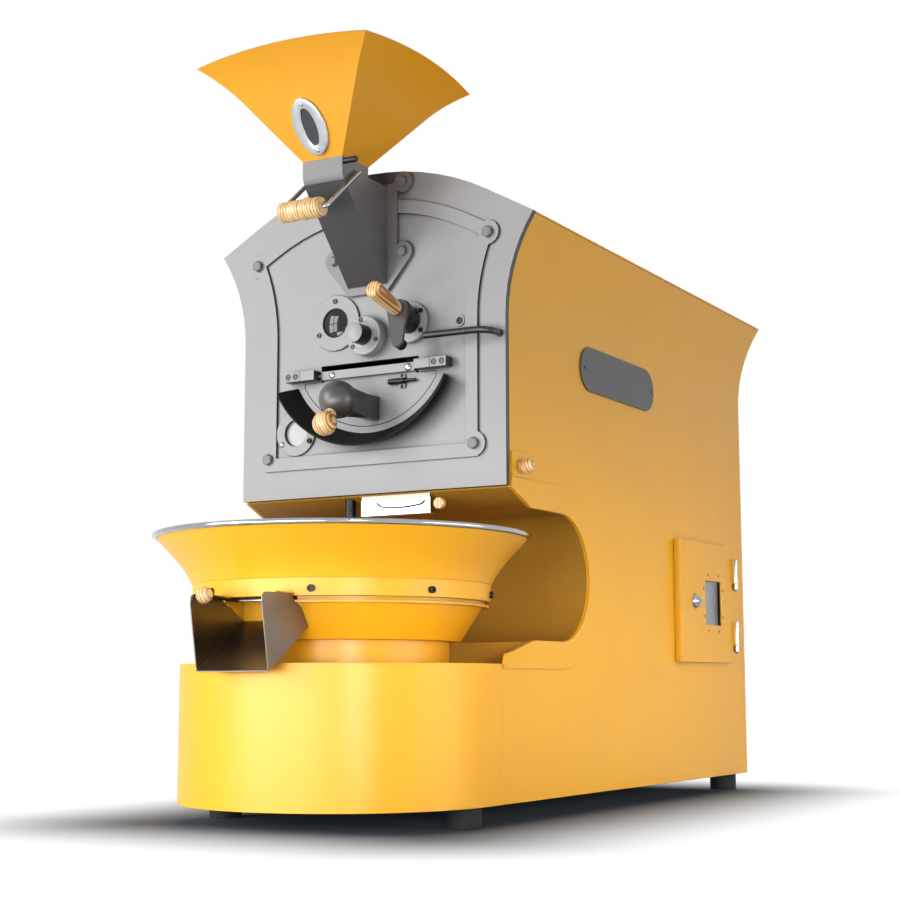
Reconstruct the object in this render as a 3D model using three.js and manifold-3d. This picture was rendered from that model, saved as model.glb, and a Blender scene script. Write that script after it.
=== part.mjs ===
// A countertop drum coffee roaster with a round cooling bowl in front, in millimetres, +Z up.
// The face of the front plate lies at Y = 0 of the machine, its axis of symmetry at X = 0, and
// the surface that it stands on at Z = 0. The whole machine is then moved along Y, so that the
// origin is under the middle of its box.
import * as THREE from 'three';
import { mergeVertices } from 'three/addons/utils/BufferGeometryUtils.js';
import Module from 'manifold-3d';

const wasm = await Module();
wasm.setup();

// Body: the arched section that runs from the front plate to the back
const bodyWidth = 450;
const bodyBack = 924;
const sheet = 2.5;
const seat = 0.3;
const overrun = 4;
const archTop = 935.8;
const archRadius = 400;
const archTurn = THREE.MathUtils.degToRad(29.2);
const flareStart = 700;
const flareRadius = 251.5;

// Base and feet
const footHeight = 28;
const footRadius = 23;
const footRound = 3;
const footInset = 29;
const frontFootY = -68;
const rearFootY = 876;
const baseTop = 215;
const bowlAxisY = -66;
const baseNoseY = -62;
const baseSeamY = -14.6;
const deckBackY = 125;
const suctionHoles = 6;

// Throat: the open C in both sides that the bowl reaches into
const throatMiddleY = 165.5;
const throatMiddleZ = 341;
const throatRadius = 92.75;
const throatTrimWidth = 39.5;
const trimThickness = 3;
const throatLipY = 67;
const throatRampY = 75;
const throatRampFootY = -6;
const throatRampFootZ = 228;
const linerStepY = 130;

// Front plate and the raised frame on it
const plateThickness = 10;
const plateBottom = 460;
const frameProud = 4;
const frameInset = 43;
const frameWidth = 19.5;
const frameBottom = 502;
const frameEar = 18;
const upperBoltX = 199;
const upperBoltZ = 820;
const lowerBoltX = 176;
const lowerBoltZ = 520;

// Drum behind the plate
const drumAxisZ = 690;
const drumRadius = 150;
const drumSheet = 3;
const drumFront = 14;
const drumLength = 276;
const drumMouth = 135;
const vaneHeight = 20;
const vaneCount = 6;
const vaneTwist = THREE.MathUtils.degToRad(50);
const shaftRadius = 12;
const hubRadius = 16.5;
const shaftClear = 0.4;
const shaftTail = 24;
const spiderShare = 0.46;
const spiderDepth = 14;
const spokeWidth = 12;
const jacketRadius = 168;
const jacketSlot = 170;
const jacketWall = 2;
const bulkheadGap = 12;
const bulkheadThickness = 4;
const bulkheadFoot = 440;

// Front bearing of the drum
const bearingRadius = 29;
const bearingProud = 18;
const bearingCapRadius = 14.5;
const bearingCapProud = 44;

// Discharge door, its hinge and its weight
const doorRadius = 131;
const doorClear = 1;
const doorHalf = 112.5;
const doorThickness = 6;
const doorTaper = 4;
const doorTop = 630;
const hingeY = -3.5;
const hingeZ = 639;
const hingePin = 2.5;
const hingePinLength = 13;
const hingeBarHalf = 80;
const hingeBarLow = 632.5;
const hingeBarHigh = 645;
const hingeBarDepth = 6;
const slotTop = 654.5;
const slotHalf = 84;
const blockStart = 86;
const blockLength = 53;
const blockLow = 632.5;
const blockHigh = 646.5;
const blockProud = 18;
const weightX = -13;
const weightY = -62;
const weightZ = 590;
const weightRadius = 27.5;
const weightBlockLeft = 3;
const weightBlockRight = 17.5;
const weightBlockDepth = 32;
const weightBlockLow = 566;
const weightBlockHigh = 600;
const weightNeckShare = 0.36;
const doorKnobRadius = 17.6;
const doorKnobNeck = 7.5;
const doorKnobStem = 3.5;
const doorKnobReach = 51;
const doorKnobDip = THREE.MathUtils.degToRad(50);
const latchX = 57.5;
const latchZ = 619.5;
const latchPlateHalf = 5;
const latchPlateHigh = 10;
const latchPlateProud = 2.5;
const latchBarrel = 4;
const latchLeft = 40;
const latchRight = 80;

// Curved bean guide round the door
const guideRadius = 141;
const guideFlare = 20;
const guideReach = 30;
const guideTurn = THREE.MathUtils.degToRad(62.5);
const guideRound = THREE.MathUtils.degToRad(2.5);
const guideRoundShare = 0.18;
const guideRoundSteps = 4;
const guideSteps = 28;

// Sight glass, port and sampler on the plate
const sightX = -58.4;
const sightZ = 717;
const sightRadius = 42;
const sightGlassRadius = 21;
const sightFlange = 3.5;
const portX = -127.5;
const portZ = 557.5;
const portRadius = 34.5;
const portBore = 20.5;
const portFlange = 3.5;
const portRecess = 6;
const samplerX = 71.5;
const samplerZ = 704;
const samplerTilt = THREE.MathUtils.degToRad(16);
const samplerFlangeRadius = 30;
const samplerFlange = 7;
const samplerHubRadius = 19;
const samplerHubReach = 36;
const samplerTube = 9;
const samplerTubeDepth = 78;
const samplerArmThickness = 5;
const samplerArmLength = 50;
const samplerArmTip = 9;
const samplerArmSide = 8.5;
const samplerPin = 8;
const samplerPinLength = 14;
const samplerTang = 4;
const samplerTangLength = 30;
const samplerScoop = 44;
const samplerWall = 2;
const samplerGripLength = 68;
const samplerGripThin = 10.5;
const samplerGripThick = 13;
const samplerGripRound = 4;
const samplerGripDome = 1.5;

// Airflow lever
const leverRadius = 5;
const leverPivotX = 216;
const leverPivotZ = 673.5;
const leverReach = 106;
const leverStandOff = 31;
const leverKneeShare = 0.22;
const leverRise = 3;
const leverTipRise = 2;
const leverKneeStandOff = 24;
const leverBend = 10;
const leverTail = 16;

// Bean chute under the hopper, with its gate
const hopperY = -92;
const neckHalf = 33.7;
const chuteTop = 925;
const chuteCover = 910;
const chuteLipZ = 896;
const chuteFootZ = 764.5;
const chuteBend = 11;
const bracketThickness = 6;
const bracketEarX = 60;
const bracketUpperZ = 914.5;
const bracketLowerZ = 809.5;
const bracketEar = 15.5;
const bracketWaist = 50;
const bracketKneeZ = 781;
const bracketFoot = 753.5;
const bracketFootHalf = 32.5;
const inletHalf = 28;
const inletLow = 772;
const inletHigh = 820;
const gateAxisZ = 908.5;
const gateShaft = 4;
const gateShaftHalf = 37;
const gateFlapHalf = 29.5;
const gateFlap = 2.5;
const bailHalf = 41;
const bailRadius = 3.2;
const bailReach = 107.8;
const bailDrop = THREE.MathUtils.degToRad(40.5);
const gripRadius = 14.3;
const gripHalf = 34.5;
const gripRound = 2.4;
const bailBend = 7;
const chutePinY = -121;
const chutePinZ = 918;
const chutePinRadius = 4;
const chutePinLength = 21;

// Hopper
const hopperSlope = THREE.MathUtils.degToRad(52.5);
const hopperStraight = 99;
const hopperFlareRadius = 210;
const hopperCornerRun = 165;
const hopperMiddleRun = 177.5;
const windowRun = 49;
const windowHalfWidth = 26;
const windowHalfHeight = 43;
const windowGlassHalfWidth = 10.5;
const windowGlassHalfHeight = 27;
const windowFrame = 4;
const windowLap = 3;

// Cooling bowl, its floor and what carries it
const bowlFloorZ = 300;
const bowlFloorRadius = 204.6;
const bandTopZ = 324;
const bandSpread = 4.2;
const flareFoot = 8.2;
const flareKnee = 15.5;
const flareSpread = 32.9;
const flareMiddleZ = 365;
const rimRadius = 264.6;
const rimZ = 388.5;
const rimBead = 5.5;
const rimSteps = 10;
const floorLedge = 14;
const sieveThickness = 1.5;
const sieveSlot = 3;
const sieveSlotShare = 0.215;
const sieveRings = 3;
const sieveFirstShare = 0.283;
const sievePitchShare = 0.254;
const sieveFewest = 12;
const sieveMore = 6;
const plenumTopInset = 10.6;
const plenumTopZ = 292;
const plenumLowInset = 39.6;
const plenumLowZ = 246;
const lipThickness = 2.5;
const stepInset = 5.6;
const neckInset = 55.6;
const outletHalf = 38;
const outletRun = 38;
const outletWall = 2.5;

// Spout, its places along Y measured from the front edge of the bowl floor
const spoutHalf = 57;
const spoutSheet = 1.6;
const spoutReach = 61.4;
const spoutFoot = 45.4;
const spoutFootZ = 203;
const spoutTopZ = 303;
const spoutShoulderZ = 291;
const spoutShoulder = 12;
const spoutBack = 53.1;
const spoutBackZ = 270.2;
const spoutCorner = 5.6;
const spoutCornerZ = 296.5;

// Outlet gate under the bowl floor
const gatePivotX = 48;
const gatePivotInset = 8.6;
const gatePlateZ = 295.9;
const gatePlate = 2.5;
const gateEye = 6;
const gateTongue = 16;
const gateLap = 3;
const outletKnobX = -42.5;
const outletKnobReach = 49.4;
const outletKnobZ = 301;
const outletKnobRadius = 11.3;
const outletRod = 2.5;

// Stirrer and its gear motor
const stirrerHubRadius = 20;
const stirrerHubHeight = 26;
const stirrerShaft = 8;
const stirrerTop = 345;
const stirrerClear = 3;
const stirrerArmInset = 18.6;
const stirrerArmWidth = 12;
const stirrerArmHeight = 8;
const bladeLength = 62;
const bladeHeight = 20;
const bladeThickness = 3;
const bladeTurn = THREE.MathUtils.degToRad(25);
const stirrerInnerShares = [0.35, 0.75];
const stirrerOuterShares = [0.55, 0.9];
const stirrerMotorRadius = 42;
const stirrerMotorHeight = 118;
const stirrerFlangeRadius = 60;
const stirrerFlangeHeight = 8;

// Pan under the front plate
const panLeft = -20;
const panRight = 97;
const panFront = 10.6;
const panDepth = 13.4;
const panHeight = 23.5;
const panTop = 451.6;

// Side fittings: nameplate, damper slider and cabinet
const nameplateY = 376.4;
const nameplateZ = 664.8;
const nameplateLength = 278;
const nameplateHeight = 69;
const nameplateThickness = 3;
const sliderFront = 13;
const sliderBack = 62;
const sliderLow = 473.5;
const sliderHigh = 509;
const sliderThickness = 3.5;
const sliderStemY = 37;
const sliderStemZ = 489;
const sliderStem = 3;
const slitY = 64.5;
const slitWidth = 3;
const sliderTravel = 15;
const sliderKnobRadius = 10.7;
const sliderKnobOut = 14;
const doorFrontY = 594.5;
const doorBackY = 838;
const doorLowZ = 224;
const doorHighZ = 429.5;
const doorProud = 11;
const openingMargin = 14;
const windowFrontY = 709;
const windowBackY = 782.5;
const windowLowZ = 288.5;
const windowHighZ = 364.7;
const barrelX = 240.3;
const barrelY = 844.5;
const barrelRadius = 4;
const barrelLength = 43;
const upperBarrelZ = 365.5;
const lowerBarrelZ = 254.5;
const pintleLength = 10;
const lockY = 660;
const lockZ = 327;
const lockRadius = 8.3;
const lockBezel = 11.5;
const lockProud = 9;
const camLength = 60;
const camWidth = 12;
const camThickness = 2.5;
const cabinetDepth = 100;
const cabinetMargin = 6;

// Burner, drum motor, fan and the pipes at the back
const burnerTop = 500;
const burnerDepth = 30;
const burnerHalf = 74;
const burnerTube = 11;
const motorBoxHalf = 56;
const motorBoxDepth = 62;
const motorRadius = 46;
const motorLength = 120;
const motorTopShare = 0.9;
const fanY = 520;
const fanZ = 168;
const fanRadius = 104;
const fanHalf = 42;
const fanMotorRadius = 52;
const fanMotorLength = 80;
const fanDuctHigh = 272;
const fanDuctLow = 196;
const fanFootHalf = 34;
const pipeRadius = 50;
const pipeWall = 2;
const pipeReach = 45;
const smokePipeZ = 800;
const coolPipeZ = 234;
const collarFlange = 16;
const ventHalf = 60;
const ventHeight = 8;
const ventPitch = 22;
const ventLowZ = 560;
const ventCount = 6;

// Facets
const bigSteps = 48;
const midSteps = 24;
const knobSteps = 16;
const smallSteps = 12;
const rodSteps = 10;
const sideSteps = 7;
const roofSteps = 14;
const throatSteps = 20;
const plateSteps = 20;
const slabSteps = 12;
const bendSteps = 5;
const cornerSteps = 4;
const jacketSteps = 40;
const vaneSteps = 5;
const hopperSides = 4;
const hopperSteps = 6;
const flareSteps = 4;
const mergeReach = 1e-4;

const bandTopRadius = bowlFloorRadius + bandSpread;
const flareMiddleRadius = bowlFloorRadius + flareSpread;
const plenumTopRadius = bowlFloorRadius - plenumTopInset;
const plenumLowRadius = bowlFloorRadius - plenumLowInset;
const neckRadius = bowlFloorRadius - neckInset;
const stirrerArmReach = bowlFloorRadius - stirrerArmInset;
const bowlFrontY = bowlAxisY - bowlFloorRadius;
const gatePivotY = bowlFrontY + gatePivotInset;
const outletKnobY = bowlFrontY - outletKnobReach;
const spoutReachY = bowlFrontY - spoutReach;
const spoutFootY = bowlFrontY - spoutFoot;
const spoutBackY = bowlFrontY + spoutBack;
const spoutCornerY = bowlFrontY + spoutCorner;
const spoutFall = (spoutBackZ - spoutFootZ) / (spoutBackY - spoutFootY);
const halfWidth = bodyWidth / 2;
const innerHalf = halfWidth - sheet;
const flareAxisX = halfWidth + flareRadius;
const archAxisZ = archTop - archRadius;
const bulkheadY = drumFront + drumLength + bulkheadGap;

// Closed meshes and solids

function closed(geometry) {
  const bare = geometry.clone();
  bare.deleteAttribute('normal');
  bare.deleteAttribute('uv');
  const merged = mergeVertices(bare, mergeReach);
  const corners = merged.index.array;
  const kept = [];
  for (let i = 0; i < corners.length; i += 3) {
    const [a, b, c] = corners.slice(i, i + 3);
    if (a !== b && b !== c && c !== a) kept.push(a, b, c);
  }
  if (volume(merged.attributes.position.array, kept) < 0) kept.reverse();
  merged.setIndex(kept);
  return merged;
}

function volume(points, corners) {
  const at = (i) => new THREE.Vector3().fromArray(points, 3 * i);
  let sum = 0;
  for (let i = 0; i < corners.length; i += 3) {
    sum += at(corners[i]).dot(at(corners[i + 1]).cross(at(corners[i + 2])));
  }
  return sum;
}

function solid(geometry) {
  const mesh = closed(geometry);
  return new wasm.Manifold(new wasm.Mesh({
    numProp: 3,
    vertProperties: new Float32Array(mesh.attributes.position.array),
    triVerts: new Uint32Array(mesh.index.array),
  }));
}

function surface(manifold) {
  const { vertProperties, triVerts } = manifold.getMesh();
  const geometry = new THREE.BufferGeometry();
  geometry.setAttribute('position', new THREE.BufferAttribute(new Float32Array(vertProperties), 3));
  geometry.setIndex(Array.from(triVerts));
  geometry.computeVertexNormals();
  return geometry;
}

function join(first, ...others) {
  return surface(others.reduce((whole, piece) => whole.add(solid(piece)), solid(first)));
}

function cut(base, ...tools) {
  return surface(tools.reduce((whole, tool) => whole.subtract(solid(tool)), solid(base)));
}

function common(first, second) {
  return surface(solid(first).intersect(solid(second)));
}

// The tightest skin round two solids, as on a cast piece that blends one form into another
function blended(first, second) {
  return surface(wasm.Manifold.hull([solid(first), solid(second)]));
}

// Basic forms, each in the machine's own place

function extruded(shape, depth, steps = midSteps) {
  return new THREE.ExtrudeGeometry(shape, { depth, bevelEnabled: false, curveSegments: steps });
}

function slabXZ(shape, front, back, steps) {
  return extruded(shape, back - front, steps).rotateX(Math.PI / 2).translate(0, back, 0);
}

function slabYZ(shape, left, right, steps) {
  const turn = new THREE.Matrix4().makeBasis(
    new THREE.Vector3(0, 1, 0), new THREE.Vector3(0, 0, 1), new THREE.Vector3(1, 0, 0));
  return extruded(shape, right - left, steps).applyMatrix4(turn).translate(left, 0, 0);
}

function slabXY(shape, low, high, steps) {
  return extruded(shape, high - low, steps).translate(0, 0, low);
}

function box(x0, x1, y0, y1, z0, z1) {
  return new THREE.BoxGeometry(x1 - x0, y1 - y0, z1 - z0)
    .translate((x0 + x1) / 2, (y0 + y1) / 2, (z0 + z1) / 2);
}

function rod(radius, from, to, steps = smallSteps, endRadius = radius) {
  const start = new THREE.Vector3(...from);
  const run = new THREE.Vector3(...to).sub(start);
  const turn = new THREE.Quaternion().setFromUnitVectors(
    new THREE.Vector3(0, 1, 0), run.clone().normalize());
  return new THREE.CylinderGeometry(endRadius, radius, run.length(), steps)
    .translate(0, run.length() / 2, 0).applyQuaternion(turn).translate(...from);
}

function ball(radius, centre, steps = smallSteps) {
  return new THREE.SphereGeometry(radius, steps, steps / 2).translate(...centre);
}

function turned(profile, steps = bigSteps) {
  const points = profile.map(([r, z]) => new THREE.Vector2(r, z));
  return new THREE.LatheGeometry(points, steps).rotateX(Math.PI / 2);
}

function closedTurn(profile, steps) {
  return turned([...profile, profile[0]], steps);
}

function alongY(geometry) {
  return geometry.rotateX(Math.PI / 2);
}

function polygon(points) {
  return new THREE.Shape(points.map(([x, y]) => new THREE.Vector2(x, y)));
}

function disc(x, y, radius, radiusY = radius, sides = midSteps) {
  return polygon(Array.from({ length: sides }, (_, i) => {
    const turn = 2 * Math.PI * i / sides;
    return [x + radius * Math.cos(turn), y + radiusY * Math.sin(turn)];
  }));
}

function arc(x, y, radius, from, to, steps) {
  return Array.from({ length: steps + 1 }, (_, i) => {
    const turn = from + (to - from) * i / steps;
    return [x + radius * Math.cos(turn), y + radius * Math.sin(turn)];
  });
}

// A skin over a row of closed loops of points: capped at both ends, or closed round on itself
function skin(loops, endless) {
  const count = loops[0].length;
  const corners = [];
  const spans = endless ? loops.length : loops.length - 1;
  for (let i = 0; i < spans; i += 1) {
    const next = (i + 1) % loops.length;
    for (let j = 0; j < count; j += 1) {
      const k = (j + 1) % count;
      corners.push(i * count + j, next * count + j, next * count + k);
      corners.push(i * count + j, next * count + k, i * count + k);
    }
  }
  if (!endless) {
    const last = (loops.length - 1) * count;
    for (let j = 1; j < count - 1; j += 1) {
      corners.push(0, j, j + 1);
      corners.push(last, last + j + 1, last + j);
    }
  }
  const geometry = new THREE.BufferGeometry();
  geometry.setAttribute('position', new THREE.Float32BufferAttribute(loops.flat(2), 3));
  geometry.setIndex(corners);
  return geometry;
}

// Finishes

function finish(color, roughness, metalness) {
  return new THREE.MeshStandardMaterial({ color, roughness, metalness });
}

const yellowCoat = finish(0xf2ab1c, 0.5, 0.05);
const greyCoat = finish(0xb4b6b6, 0.45, 0.3);
const darkCoat = finish(0x4a4b4c, 0.5, 0.4);
const blackSteel = finish(0x1b1b1c, 0.4, 0.5);
const brushedSteel = finish(0x9a9894, 0.35, 0.9);
const chromeSteel = finish(0xd8dadc, 0.12, 1);
const castIron = finish(0x2f3031, 0.6, 0.6);
const drumSteel = finish(0x55575a, 0.5, 0.9);
const pine = finish(0xd7a468, 0.55, 0);
const darkGlass = finish(0x10151a, 0.05, 0.1);
const smokedGlass = finish(0x3a464d, 0.08, 0.1);
const blackRubber = finish(0x141414, 0.85, 0);
const enginePaint = finish(0x2c3f57, 0.5, 0.2);
const galvanised = finish(0xa3a6a6, 0.5, 0.7);

const machine = new THREE.Group();

function add(name, geometry, material, group = machine) {
  const body = closed(geometry);
  body.computeVertexNormals();
  const mesh = new THREE.Mesh(body, material);
  mesh.name = name;
  group.add(mesh);
  return mesh;
}

// The arched section of the body

// Where the flared side, inset by one amount, meets the straight end of the roof, inset by another
function eave(sideInset, roofInset) {
  const roof = archRadius - roofInset;
  const run = new THREE.Vector2(Math.cos(archTurn), -Math.sin(archTurn));
  const start = new THREE.Vector2(roof * Math.sin(archTurn), archAxisZ + roof * Math.cos(archTurn));
  const away = start.clone().sub(new THREE.Vector2(flareAxisX, flareStart));
  const half = away.dot(run);
  const reach = flareRadius + sideInset;
  const travel = -half - Math.sqrt(half * half - away.lengthSq() + reach * reach);
  return start.addScaledVector(run, travel);
}

// The right side from its foot up to the eave
function sideLine(inset, roofInset, foot) {
  const corner = eave(inset, roofInset);
  const reach = flareRadius + inset;
  const last = Math.PI - Math.asin((corner.y - flareStart) / reach);
  return [[halfWidth - inset, foot], ...arc(flareAxisX, flareStart, reach, Math.PI, last, sideSteps)];
}

// The roof from the right end of its arch to the left one
function roofLine(inset) {
  const from = Math.PI / 2 - archTurn;
  return arc(0, archAxisZ, archRadius - inset, from, Math.PI - from, roofSteps);
}

function mirrored(points) {
  return points.map(([x, z]) => [-x, z]).reverse();
}

function archedShape(inset, foot, sideInset = inset) {
  const side = sideLine(sideInset, inset, foot);
  return polygon([...side, ...roofLine(inset), ...mirrored(side)]);
}

// Throat opening and its trim, in Y and Z

function throatTop(grow) {
  return throatMiddleZ + throatRadius + grow;
}

function throatLow(grow) {
  return throatMiddleZ - throatRadius - grow;
}

const throatFrontZ = plateBottom - sheet;

function throatCurve(grow, steps) {
  return arc(throatMiddleY, throatMiddleZ, throatRadius + grow, -Math.PI / 2, Math.PI / 2, steps);
}

function throatTrim(side) {
  const outer = [
    [baseSeamY, throatLow(throatTrimWidth)],
    ...throatCurve(throatTrimWidth, throatSteps),
    [plateThickness + sheet, throatTop(throatTrimWidth)],
    [plateThickness + sheet, throatFrontZ],
    [throatLipY, throatTop(0)],
    ...throatCurve(0, throatSteps).reverse(),
    [throatRampY, throatLow(0)],
    [throatRampFootY, throatRampFootZ],
  ];
  const inside = halfWidth + seat;
  const plate = slabYZ(polygon(outer), inside, inside + trimThickness);
  return side > 0 ? plate : plate.translate(-2 * inside - trimThickness, 0, 0);
}

function throatCutter() {
  const back = [
    [plateThickness - overrun, throatFrontZ + sheet],
    [throatLipY, throatTop(0)],
    ...throatCurve(0, throatSteps).reverse(),
    [throatRampY, throatLow(0)],
    [throatRampFootY, throatRampFootZ],
    [baseSeamY + seat, throatLow(throatTrimWidth)],
    [baseSeamY - overrun, throatLow(throatTrimWidth)],
    [baseSeamY - overrun, throatFrontZ + sheet],
  ];
  const reach = halfWidth + flareRadius;
  return slabYZ(polygon(back), -reach, reach);
}

// Casing

function sidePanel() {
  const outer = sideLine(0, sheet + seat, footHeight);
  const inner = sideLine(sheet, sheet + seat, footHeight).reverse();
  const whole = slabXZ(polygon([...outer, ...inner]), baseSeamY + seat, bodyBack);
  const front = plateThickness + seat;
  const aboveBase = box(0, 2 * halfWidth, baseSeamY - overrun, front, throatFrontZ - overrun, 2 * archTop);
  return cut(whole, throatCutter(), aboveBase);
}

function roofPanel() {
  const low = eave(0, sheet);
  const high = eave(0, 0);
  const outer = [[high.x, high.y], ...roofLine(0), [-high.x, high.y]];
  const inner = [[low.x, low.y], ...roofLine(sheet), [-low.x, low.y]].reverse();
  return slabXZ(polygon([...outer, ...inner]), plateThickness + seat, bodyBack);
}

const cabinetOpening = {
  front: doorFrontY + openingMargin,
  back: doorBackY - openingMargin,
  low: doorLowZ + openingMargin,
  high: doorHighZ - openingMargin,
};

function rightPanel() {
  const { front, back, low, high } = cabinetOpening;
  const reach = halfWidth + overrun;
  const opening = box(innerHalf - overrun, reach, front, back, low, high);
  const stemRoom = sliderStem + seat;
  const slot = box(innerHalf - overrun, reach, sliderStemY - stemRoom, sliderStemY + stemRoom,
    sliderStemZ - stemRoom, sliderStemZ + sliderTravel + stemRoom);
  const slit = box(innerHalf - overrun, reach, slitY, slitY + slitWidth, sliderLow, sliderHigh - slitWidth);
  const panel = cut(sidePanel(), opening, slot, slit);
  return join(panel, ...[upperBarrelZ, lowerBarrelZ].map(pintle));
}

// The fixed half of a cabinet hinge: a pin with a domed foot, on a leaf from the side
function pintle(barrelFoot) {
  const top = barrelFoot - seat;
  const low = top - pintleLength;
  const leaf = box(innerHalf + seat, barrelX, barrelY - barrelRadius / 2, barrelY + barrelRadius / 2,
    low, top);
  const pin = rod(barrelRadius, [barrelX, barrelY, low], [barrelX, barrelY, top]);
  return join(leaf, pin, ball(barrelRadius, [barrelX, barrelY, low]));
}

function baseFront() {
  const outer = arc(0, baseNoseY, halfWidth, -Math.PI, 0, midSteps);
  const inner = arc(0, baseNoseY, innerHalf, -Math.PI, 0, midSteps).reverse();
  const wrap = polygon([
    [-halfWidth, baseSeamY], ...outer, [halfWidth, baseSeamY],
    [innerHalf, baseSeamY], ...inner, [-innerHalf, baseSeamY],
  ]);
  return slabXY(wrap, footHeight, baseTop);
}

function basePlan(half, back) {
  return polygon([...arc(0, baseNoseY, half, -Math.PI, 0, midSteps), [half, back], [-half, back]]);
}

function baseDeck() {
  const plan = basePlan(innerHalf - seat, deckBackY);
  plan.holes.push(disc(0, bowlAxisY, stirrerShaft + stirrerClear));
  const suction = stirrerFlangeRadius + (neckRadius - stirrerFlangeRadius) / 2;
  const hole = (neckRadius - stirrerFlangeRadius) / 3;
  for (let i = 0; i < suctionHoles; i += 1) {
    const turn = 2 * Math.PI * i / suctionHoles;
    plan.holes.push(disc(suction * Math.cos(turn), bowlAxisY + suction * Math.sin(turn), hole));
  }
  return slabXY(plan, baseTop - sheet, baseTop);
}

function throatLiner() {
  const stepLow = baseTop - 2 * sheet;
  const inside = [
    [plateThickness + seat, throatFrontZ],
    [throatLipY, throatTop(0)],
    ...throatCurve(0, throatSteps).reverse(),
    [linerStepY, throatLow(0)],
    [linerStepY, stepLow],
  ];
  const outside = [
    [linerStepY + sheet, stepLow],
    [linerStepY + sheet, throatLow(sheet)],
    ...throatCurve(sheet, throatSteps),
    [throatLipY, throatTop(sheet)],
    [plateThickness + seat, throatFrontZ + sheet],
  ];
  return slabYZ(polygon([...inside, ...outside]), seat - innerHalf, innerHalf - seat);
}

function backPanel() {
  const panel = slabXZ(archedShape(sheet + seat, footHeight), bodyBack - sheet, bodyBack, slabSteps);
  const front = bodyBack - sheet - overrun;
  const back = bodyBack + overrun;
  const vents = Array.from({ length: 2 * ventCount }, (_, i) => {
    const low = ventLowZ + Math.floor(i / 2) * ventPitch;
    const middle = (i % 2 ? 1 : -1) * (ventHalf + ventPitch);
    return box(middle - ventHalf, middle + ventHalf, front, back, low, low + ventHeight);
  });
  return cut(panel, ...vents,
    rod(pipeRadius + seat, [0, front, smokePipeZ], [0, back, smokePipeZ], midSteps),
    rod(pipeRadius - pipeWall, [0, front, coolPipeZ], [0, back, coolPipeZ], midSteps));
}

function foot() {
  return turned([[0, 0], [footRadius - footRound, 0], [footRadius, footRound], [footRadius, footHeight],
    [0, footHeight]], knobSteps);
}

function casing() {
  add('side_panel_right', rightPanel(), yellowCoat);
  add('side_panel_left', sidePanel().scale(-1, 1, 1), yellowCoat);
  add('roof_panel', roofPanel(), yellowCoat);
  add('back_panel', backPanel(), yellowCoat);
  add('base_front', baseFront(), yellowCoat);
  add('base_deck', baseDeck(), yellowCoat);
  add('throat_liner', throatLiner(), yellowCoat);
  add('throat_trim_right', throatTrim(1), yellowCoat);
  add('throat_trim_left', throatTrim(-1), yellowCoat);
  const bottom = basePlan(innerHalf - seat, bodyBack - sheet - seat);
  add('bottom_plate', slabXY(bottom, footHeight, footHeight + sheet), galvanised);
  const feet = { front_left: [-1, frontFootY], front_right: [1, frontFootY],
    rear_left: [-1, rearFootY], rear_right: [1, rearFootY] };
  for (const [name, [side, y]] of Object.entries(feet)) {
    add(`foot_${name}`, foot(), blackRubber).position.set(side * (halfWidth - footInset), y, 0);
  }
}

// Front plate

// The discharge opening: the lower part of the drum mouth, and the slot that the hinge bar turns in
function dischargeOutline(grow) {
  const top = doorTop + Math.max(0, grow);
  const half = doorHalf + grow;
  const radius = doorRadius + grow;
  const from = -Math.PI + Math.acos(half / radius);
  const rim = arc(0, drumAxisZ, radius, from, -Math.PI - from, knobSteps);
  return [[-half, top], ...rim, [half, top]];
}

function frontPlate() {
  const shape = archedShape(0, plateBottom);
  shape.holes.push(disc(0, drumAxisZ, shaftRadius + 2 * shaftClear));
  shape.holes.push(disc(sightX, sightZ, sightGlassRadius - 1 * seat));
  shape.holes.push(disc(samplerX, samplerZ, samplerTube + samplerFlange));
  shape.holes.push(disc(leverPivotX, leverPivotZ, leverRadius + shaftClear));
  shape.holes.push(disc(portX, portZ, portBore));
  shape.holes.push(polygon([[-inletHalf, inletLow], [-inletHalf, inletHigh],
    [inletHalf, inletHigh], [inletHalf, inletLow]]));
  const plate = slabXZ(shape, 0, plateThickness, plateSteps);
  const opening = slabXZ(polygon(dischargeOutline(doorClear)), -overrun, plateThickness + overrun);
  const slot = box(-slotHalf, slotHalf, -overrun, plateThickness + overrun, doorTop - overrun, slotTop);
  return cut(plate, opening, slot);
}

function faceFrame() {
  const back = 0;
  const front = -frameProud;
  const outer = slabXZ(archedShape(frameInset, frameBottom), front, back);
  const ears = [[upperBoltX, upperBoltZ], [lowerBoltX, lowerBoltZ]]
    .flatMap(([x, z]) => [[x, z], [-x, z]])
    .map(([x, z]) => slabXZ(disc(x, z, frameEar, frameEar, knobSteps), front, back));
  const inside = archedShape(frameInset + frameWidth, frameBottom + frameWidth);
  const gap = bracketWaist + seat;
  const room = box(-gap, gap, front - overrun, back + overrun, drumAxisZ, 2 * archTop);
  return cut(join(outer, ...ears), slabXZ(inside, front - overrun, back + overrun), room);
}

function sightRing() {
  const shape = disc(sightX, sightZ, sightRadius);
  shape.holes.push(disc(sightX, sightZ, sightGlassRadius));
  const flange = slabXZ(shape, -sightFlange, 0);
  const room = bearingRadius + seat;
  return cut(flange, rod(room, [0, -bearingProud, drumAxisZ], [0, overrun, drumAxisZ], midSteps));
}

function sightGlass() {
  return rod(sightGlassRadius - seat, [sightX, -sightFlange / 2, sightZ], [sightX, 0, sightZ], midSteps);
}

function portFlangeSolid() {
  const at = (y) => [portX, y, portZ];
  const flange = rod(portRadius, at(-portFlange), at(0), midSteps);
  const socket = rod(portBore - seat, at(-portFlange / 2), at(plateThickness), midSteps);
  const recess = rod(portBore - 2 * seat, at(-2 * portFlange), at(portRecess - portFlange), midSteps);
  return cut(join(flange, socket), recess);
}

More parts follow.
